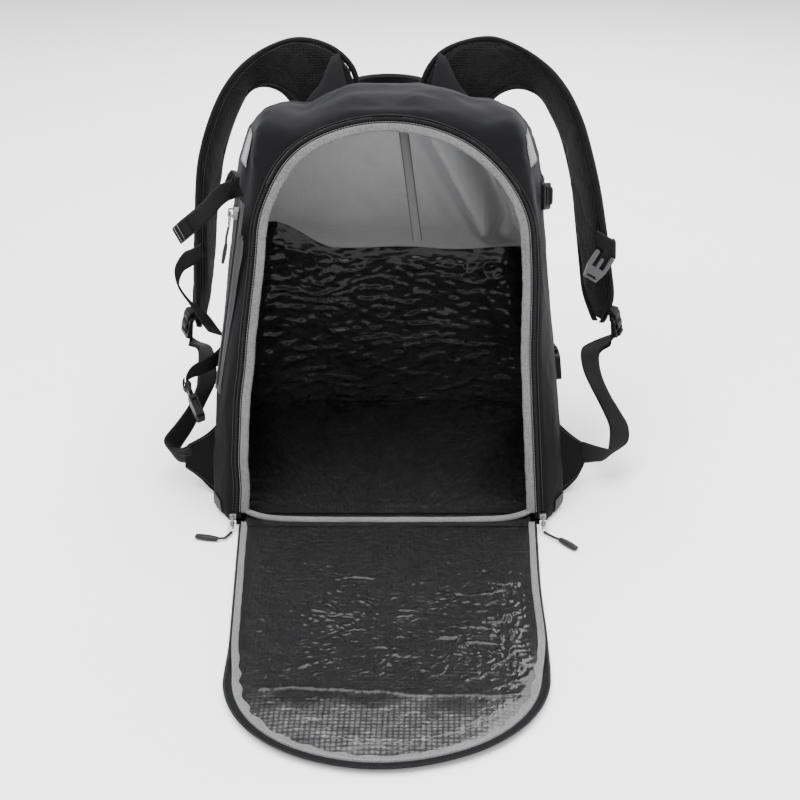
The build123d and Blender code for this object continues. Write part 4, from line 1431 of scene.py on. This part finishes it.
def strap_edge(name, edges, spot):
    """Folded edge tape of a padded strap: an oval tube that wraps its rim."""
    rows = []
    for mid, across, normal, length in frames_of(edges, 8):
        way = across.normalized() * (1 if spot > 0 else -1)
        centre = mid + across * spot - way * 0.0022
        row = []
        for k in range(12):
            a = 2 * pi * k / 12
            fat = 0.0034 + 0.0002 * wobble((length, k * 0.05, 0), 90, 3.0)
            row.append(centre + way * 0.0034 * cos(a) + normal * fat * sin(a))
        rows.append(row)
    grid(name, rows, "webbing_black", "bag", "webbing_black", ring=True, caps=True)


for side_name, stations, seed in (("left", LEFT_STRAP, 2.0), ("right", RIGHT_STRAP, 5.0)):
    edges = metres(stations)
    (a, b), (c, d) = edges[-2:]
    run_out = ((c + d) / 2 - (a + b) / 2).normalized() * 0.008
    edges.append((c.lerp(d, 0.22) + run_out, d.lerp(c, 0.22) + run_out))
    wide = [(a + (a - b).normalized() * 0.0022, b + (b - a).normalized() * 0.0022) for a, b in edges]
    pad = strap(f"{side_name}_strap_pad", wide, 0.0092, "mesh_black", None, None, per=6, puff=0.5, cols=12)
    inflate(pad, 0.004, 4.0, 0.004, None, 14, relax=3)
    subdivide(pad)
    sculpt(pad, lambda p: 0.0007 * wobble(p, 40, seed) - 0.0008 * crease(p, 22, seed) ** 4)
    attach(pad, "bag")
    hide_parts(f"{side_name}_shoulder_strap")
    for hand in (-1, 1):
        strap_edge(f"{side_name}_strap_edge_{hand + 1}", edges, hand)
    sew(f"{side_name}_strap_stitches", edge_lines(edges, 6, (-0.84, 0.84), -0.0048))
    sign = -1 if side_name == "left" else 1
    rows = []
    for j in range(13):
        t = j / 12
        z = 0.352 + 0.058 * t
        near = 0.036 + 0.017 * t + 0.002 * sin(pi * t)
        far = 0.099 - 0.037 * t - 0.003 * sin(pi * t)
        row = []
        for i in range(13):
            c = i / 12
            x = near + (max(far, near + 0.002) - near) * c
            bulge = 0.0032 * (1 - (2 * c - 1) ** 4) * (1 - (2 * t - 1) ** 6)
            y = 0.1515 - bulge - 0.0005 * wobble((x, z, 0), 60, seed)
            row.append(Vector((sign * x, y, z + 0.006 * (1 - c) * t)))
        rows.append(row)
    nodes = (f"{side_name}_root_patch",)
    grid(f"{side_name}_root_patch_cloth", rows, "patch_charcoal", "bag", "patch_charcoal", nodes)
    for column in (0, 12):
        line = [r[column] + Vector((sign * (0.0016 if not column else -0.0016), -0.0006, 0)) for r in rows]
        frames = stitch_frames(line, Vector((0, -1, 0)))
        sew(f"{side_name}_root_stitches_{column}", frames, "patch_charcoal", radius=0.00028)


# ---- webbing through the adjusters ---------------------------------------------------------------
def sewn_edges(edges, per, spots, lift):
    """Stitch lines on both faces of a strap."""
    return edge_lines(edges, per, spots, lift) + edge_lines(edges, per, spots, -lift)


def shifted(edges, x, y, z):
    """Edge points moved by a distance in metres."""
    return [(a + Vector((x, y, z)), b + Vector((x, y, z))) for a, b in edges]


def plane_of(origin, x_dir, z_dir):
    """Local to world, in metres, of a plane given in millimetres."""
    z = Vector(z_dir).normalized()
    x = Vector(x_dir)
    x = (x - z * x.dot(z)).normalized()
    y = z.cross(x)
    start = Vector(origin) * 0.001
    return lambda a, b, c: start + (x * a + y * b + z * c) * 0.001


LOCK_LEFT = plane_of((-226, 104, 119), (-0.35, 1, 0), (-1, -0.35, 0.25))
LOCK_RIGHT = plane_of((254, 101, 121), (0.35, 1, 0), (1, -0.35, 0.25))
LEFT_WEBBING = [
    ((-225, 88, 103), (-217, 110, 97)),
    ((-212, 66, 107), (-200, 88, 99)),
    ((-208, 40, 102), (-192, 58, 92)),
    ((-207, 14, 88), (-189, 30, 82)),
    ((-214, -10, 72), (-198, 6, 66)),
    ((-226, -26, 58), (-210, -16, 46)),
    ((-238, -40, 46), (-224, -34, 28)),
    ((-234, -52, 42), (-224, -52, 25)),
    ((-217, -60, 44), (-213, -61, 26)),
    ((-207, -61, 50), (-205, -64, 24)),
]
RIGHT_WEBBING = [
    ((247, 84, 104), (227, 92, 103)),
    ((233, 66, 101), (214, 74, 100)),
    ((233, 42, 87), (214, 48, 87)),
    ((240, 14, 74), (222, 20, 74)),
    ((249, -8, 63), (231, -2, 60)),
    ((256, -26, 53), (236, -22, 50)),
    ((254, -42, 42), (234, -40, 38)),
    ((240, -56, 40), (228, -56, 28)),
    ((222, -62, 46), (216, -62, 28)),
    ((203, -61, 52), (201, -63, 27)),
]
# the webbing's ways round an adjuster's bars, in the adjuster's own plane
HALF_WEB = 12.0
LOCK_OVER = ((-2.4, 5.4), (0, 5.7), (2.6, 5.3), (4.8, 3.4), (6.2, 0.9), (9.5, -1.2), (13, -1.6))
LOCK_BACK = ((-2.4, 5.4), (-4.6, 3.6), (-5.8, 0.8), (-3.8, -1.4), (2, -2.4), (9, -3.4), (14, -3.8))
LOCK_LOOP = ((-10, 5.2), (-7.2, 4.4), (-5.2, 1.6), (-7.2, -1.6), (-12, -2.0))
LOCK_FRONT = ((-7.2, 4.4), (-10, 5.4), (-13.5, 4.4), (-17, 2.0))
for side_name, lock, down, route, tip in (
    ("left", LOCK_LEFT, 1, LEFT_WEBBING, ((-217, 106, 136), (-213, 130, 133))),
    ("right", LOCK_RIGHT, -1, RIGHT_WEBBING, ((247, 107, 142), (233, 130, 138))),
):

    def round_bars(path):
        return [(lock(-HALF_WEB, b * down, c), lock(HALF_WEB, b * down, c)) for b, c in path]

    run, tip = metres(route), metres([tip])
    web(f"{side_name}_lower_webbing_tail", round_bars(LOCK_OVER) + run, (f"{side_name}_lower_webbing",))
    web(f"{side_name}_lower_webbing_load", round_bars(LOCK_BACK) + shifted(run[:4], 0.0016 * -down, 0.003, -0.004))
    web(f"{side_name}_lock_loop", round_bars(LOCK_LOOP) + tip)
    web(f"{side_name}_lock_loop_front", round_bars(LOCK_FRONT) + tip)
    sew(f"{side_name}_webbing_stitches", edge_lines(run[-3:], 6, (-0.7, 0.0, 0.7), 0.0010))

for sign, side_name, tip_x, tip_z in ((-1, "left", 214, 33), (1, "right", 206, 36)):
    wing = metres([
        ((sign * 178, -84, 3), (sign * 174, -48, 74)),
        ((sign * 186, -78, 4), (sign * 181.5, -52, 66)),
        ((sign * 198, -72, 14), (sign * 193, -54, 56)),
        ((sign * tip_x, -63, tip_z - 11), (sign * (tip_x - 3), -58, tip_z + 14)),
    ])
    name, nodes = f"{side_name}_wing_cloth", (f"{side_name}_wing",)
    strap(name, wing, 0.0042, "shell_fabric", "bag", "shell_fabric", nodes, 8, 0.3, 13, 0.0006, 4.0)
    sew(f"{side_name}_wing_stitches", sewn_edges(wing, 8, (-0.86, 0.86), 0.0019), "shell_fabric")

# ---- compression straps, loose tail, sternum loops, haul handle ----------------------------------
def wall_strap(name, side, start_y, end_y, z, node, lead, follows=None):
    """A compression strap on the wall; `lead` is the part in front of it, round its buckle's bar.

    When `follows` is given, the strap goes on no body, with its place baked in, and is stitched at its back end
    only; the body and the points that `follows` holds are not used."""
    pairs = []
    for k in range(9):
        y = (start_y + (end_y - start_y) * k / 8) * 0.001
        pair = []
        for dz in (-0.010, 0.010):
            p = Vector((side * (WALL_X - WALL_LEAN * (z + dz)), y, z + dz))
            hit, _ = on_shell(p, Vector((-side, 0, 0)), 0.0016)
            if abs(hit.x) < abs(p.x) - 0.012:
                hit = p
            pair.append(hit)
        pairs.append(tuple(pair))
    body = None if follows else "bag"
    made = web(name, lead + pairs, (node,), per=4, body=body)
    sewn = edge_lines(pairs[-3:], 4, (-0.75, -0.25, 0.25, 0.75), -0.0011 * side)
    if follows:
        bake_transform(made)
    else:
        sewn = edge_lines(pairs[:3], 4, (-0.75, -0.25, 0.25, 0.75), -0.0011 * side) + sewn
    sew(f"{name}_stitches", sewn)


def turned(place, half, path):
    """Pairs of edge points round a bar of a buckle that lies at `place`; the lower edge comes first."""
    return [(place(-half, b, c), place(half, b, c)) for b, c in path]


UPPER_LEFT = plane_of((-150, -62, 328), (0.4, -0.15, 1), (-1, -0.5, 0.35))
UPPER_RIGHT = plane_of((154, -48, 313), (0, 0.2, 1), (1, -0.5, 0.1))
BUCKLE_LEFT = plane_of((-194, -66, 94), (-0.42, 0.55, 0.72), (-0.9, -0.35, -0.25))
BUCKLE_RIGHT = plane_of((174, -6, 116.1), (0, 1, 0), (1, 0, 0.106))
ROUND_BAR = ((16, 0.4), (11.5, 3.0), (8.6, 5.2), (5.8, 5.0), (3.9, 2.0), (5.6, -1.0), (9, -1.6), (14, -1.4))
ROUND_PRONGS = ((33, 4.4), (30, 6.6), (27, 7.8), (23, 7.6), (20.4, 4.2), (23, 1.0), (27, 0.6), (32, 2.4))
HANGING_LEAD = metres([
    ((-207.5, -34.5, 111.6), (-205, -42.5, 128.2)),
    ((-198.2, -14.8, 108.0), (-196.2, -17.2, 126.5)),
    ((-186.8, 7, 106.0), (-185.8, 7, 125.2)),
])
wall_strap("left_upper_webbing", -1, -12, 108, 0.312, "left_upper_strap", turned(UPPER_LEFT, 8.6, ROUND_BAR))
backwards = [(-b, c) for b, c in ROUND_BAR]
wall_strap("right_upper_webbing", 1, -26, 108, 0.312, "right_upper_strap", turned(UPPER_RIGHT, 8.6, backwards))
prong_turn = [(BUCKLE_LEFT(a, 9.6, c), BUCKLE_LEFT(a, -9.6, c)) for a, c in ROUND_PRONGS]
wall_strap(
    "left_lower_webbing_side", -1, 28, 108, 0.116, "left_lower_strap", prong_turn + HANGING_LEAD,
    ("left_prongs", (-0.184, 0.012, 0.116), (-0.205, -0.036, 0.118)),
)
prong_turn = [(BUCKLE_RIGHT(a, -9.6, c), BUCKLE_RIGHT(a, 9.6, c)) for a, c in ROUND_PRONGS[1:-1]]
wall_strap(
    "right_lower_webbing_side", 1, 32, 108, 0.116, "right_lower_strap", prong_turn,
    ("right_prongs", (0.173, 0.072, 0.116), (0.173, 0.026, 0.116)),
)

TAIL = metres([
    ((-146, -66, 337), (-140, -66, 318)),
    ((-156, -65, 333), (-150, -64, 315)),
    ((-168, -64, 326), (-160, -62, 309)),
    ((-184, -57, 308), (-176, -55, 291)),
    ((-207, -47, 287), (-199, -45, 269)),
    ((-215, -45, 279), (-207, -43, 262)),
])
web("left_loose_tail", TAIL, ("left_strap_tail",), per=8, ripple=0.0004)
fold = shifted(TAIL[-2:], 0, -0.0014, 0)
fold.insert(0, (fold[0][0].lerp(TAIL[-3][0], 0.25), fold[0][1].lerp(TAIL[-3][1], 0.25)))
web("left_loose_tail_hem", fold, per=6)
frames = []
for c in (0.35, 0.75):
    ends = [fold[1][k].lerp(fold[2][k], c) + Vector((0, -0.0012, 0)) for k in (0, 1)]
    frames += stitch_frames(ends, Vector((0, -1, 0)), 0.0028)
sew("left_loose_tail_stitches", frames, length=0.002, mat="thread_pale")

HANGING_END = [
    ((-237, 95, 189), (-231, 85, 171)),
    ((-233, 84, 171), (-219, 80, 156)),
    ((-220, 78, 152), (-202, 78, 143)),
    ((-208, 75, 133), (-190, 77, 126)),
    ((-200, 73, 123), (-183, 76, 116)),
]
for sign, side_name, x, z in ((-1, "left", 222, 190), (1, "right", 243, 205)):
    loop = [
        ((sign * (x - 14), 108, z + 24), (sign * (x - 14), 100, z + 6)),
        ((sign * (x - 4), 104, z + 19), (sign * (x - 4), 96, z + 1)),
        ((sign * (x + 6), 103, z + 14), (sign * (x + 6), 95, z - 6)),
    ]
    if sign < 0:
        loop += HANGING_END
    else:
        loop.append(((x + 5, 112, z + 14), (x + 5, 104, z - 6)))
    loop = metres(loop)
    web(f"{side_name}_sternum_loop", loop, (f"{side_name}_sternum_webbing",), 0.0018)
    if sign < 0:
        hem = shifted(loop[-2:], -0.0004, -0.0018, 0)
        web("left_sternum_hem", hem, thick=0.0016, per=5)
        sew("left_sternum_stitches", sewn_edges(hem, 5, (-0.6, -0.2, 0.2, 0.6), 0.0011), length=0.002)

# the webbing that holds the sternum buckle to its loop lies behind the buckle
TAB = [(243, 100.5, 211), (241.5, 96, 206.5), (238.5, 94, 201), (234.5, 93.9, 194), (229, 93.9, 185)]
web("right_sternum_tab", metres([((x - 5.2, y, z + 3.0), (x + 5.2, y, z - 3.0)) for x, y, z in TAB]), per=6)

bow = [((-62, 165.3, 358), (-62, 165.3, 384)), ((-40, 165.5, 358), (-40, 165.5, 384))]
for x in (-32, -18, 0, 18, 32):
    y = 165.3 + 24 * (1 - (x / 38) ** 2) ** 0.8
    bow.append(((x, y, 357.5), (x, y, 384.5)))
bow += [((40, 165.5, 358), (40, 165.5, 384)), ((62, 165.3, 358), (62, 165.3, 384))]
handle = metres(bow)
web("haul_handle_webbing", handle, ("haul_handle",), 0.0028, 8, 0.15, cols=11)
sew("haul_handle_stitches", sewn_edges(handle, 6, (-0.8, 0.8), 0.0016), length=0.0024, radius=0.00032)

# ---- back pads -----------------------------------------------------------------------------------
def channels(p):
    """Pressed grooves across a back pad."""
    groove = sum(math.exp(-(((p.z - z) / 0.0035) ** 2)) for z in (0.085, 0.135, 0.185, 0.235, 0.285))
    return -0.0035 * groove * ease(p.y, 0.154, 0.160) + 0.0005 * wobble(p, 40, 3.0)


for sign, side_name in ((-1, "left"), (1, "right")):
    bm = bmesh.new()
    for y, inner in ((0.1518, 0.020), (0.1605, 0.024)):
        for x, z in ((inner, 0.037), (0.137 - inner, 0.037), (0.119 - inner, 0.319), (inner, 0.319)):
            bm.verts.new((sign * x, y, z))
    bmesh.ops.convex_hull(bm, input=bm.verts)
    mesh = bpy.data.meshes.new(f"{side_name}_pad")
    bm.to_mesh(mesh)
    bm.free()
    mesh.materials.append(M["mesh_black"].mat)
    pad = bpy.data.objects.new(f"{side_name}_back_cushion", mesh)
    scene.collection.objects.link(pad)
    inflate(pad, 0.004, 4.0, 0.003, lambda p: 1.0 if p.y < 0.1535 else 0.0, 12)
    subdivide(pad)
    sculpt(pad, channels)
    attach(pad, "bag")
    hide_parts(f"{side_name}_back_pad")
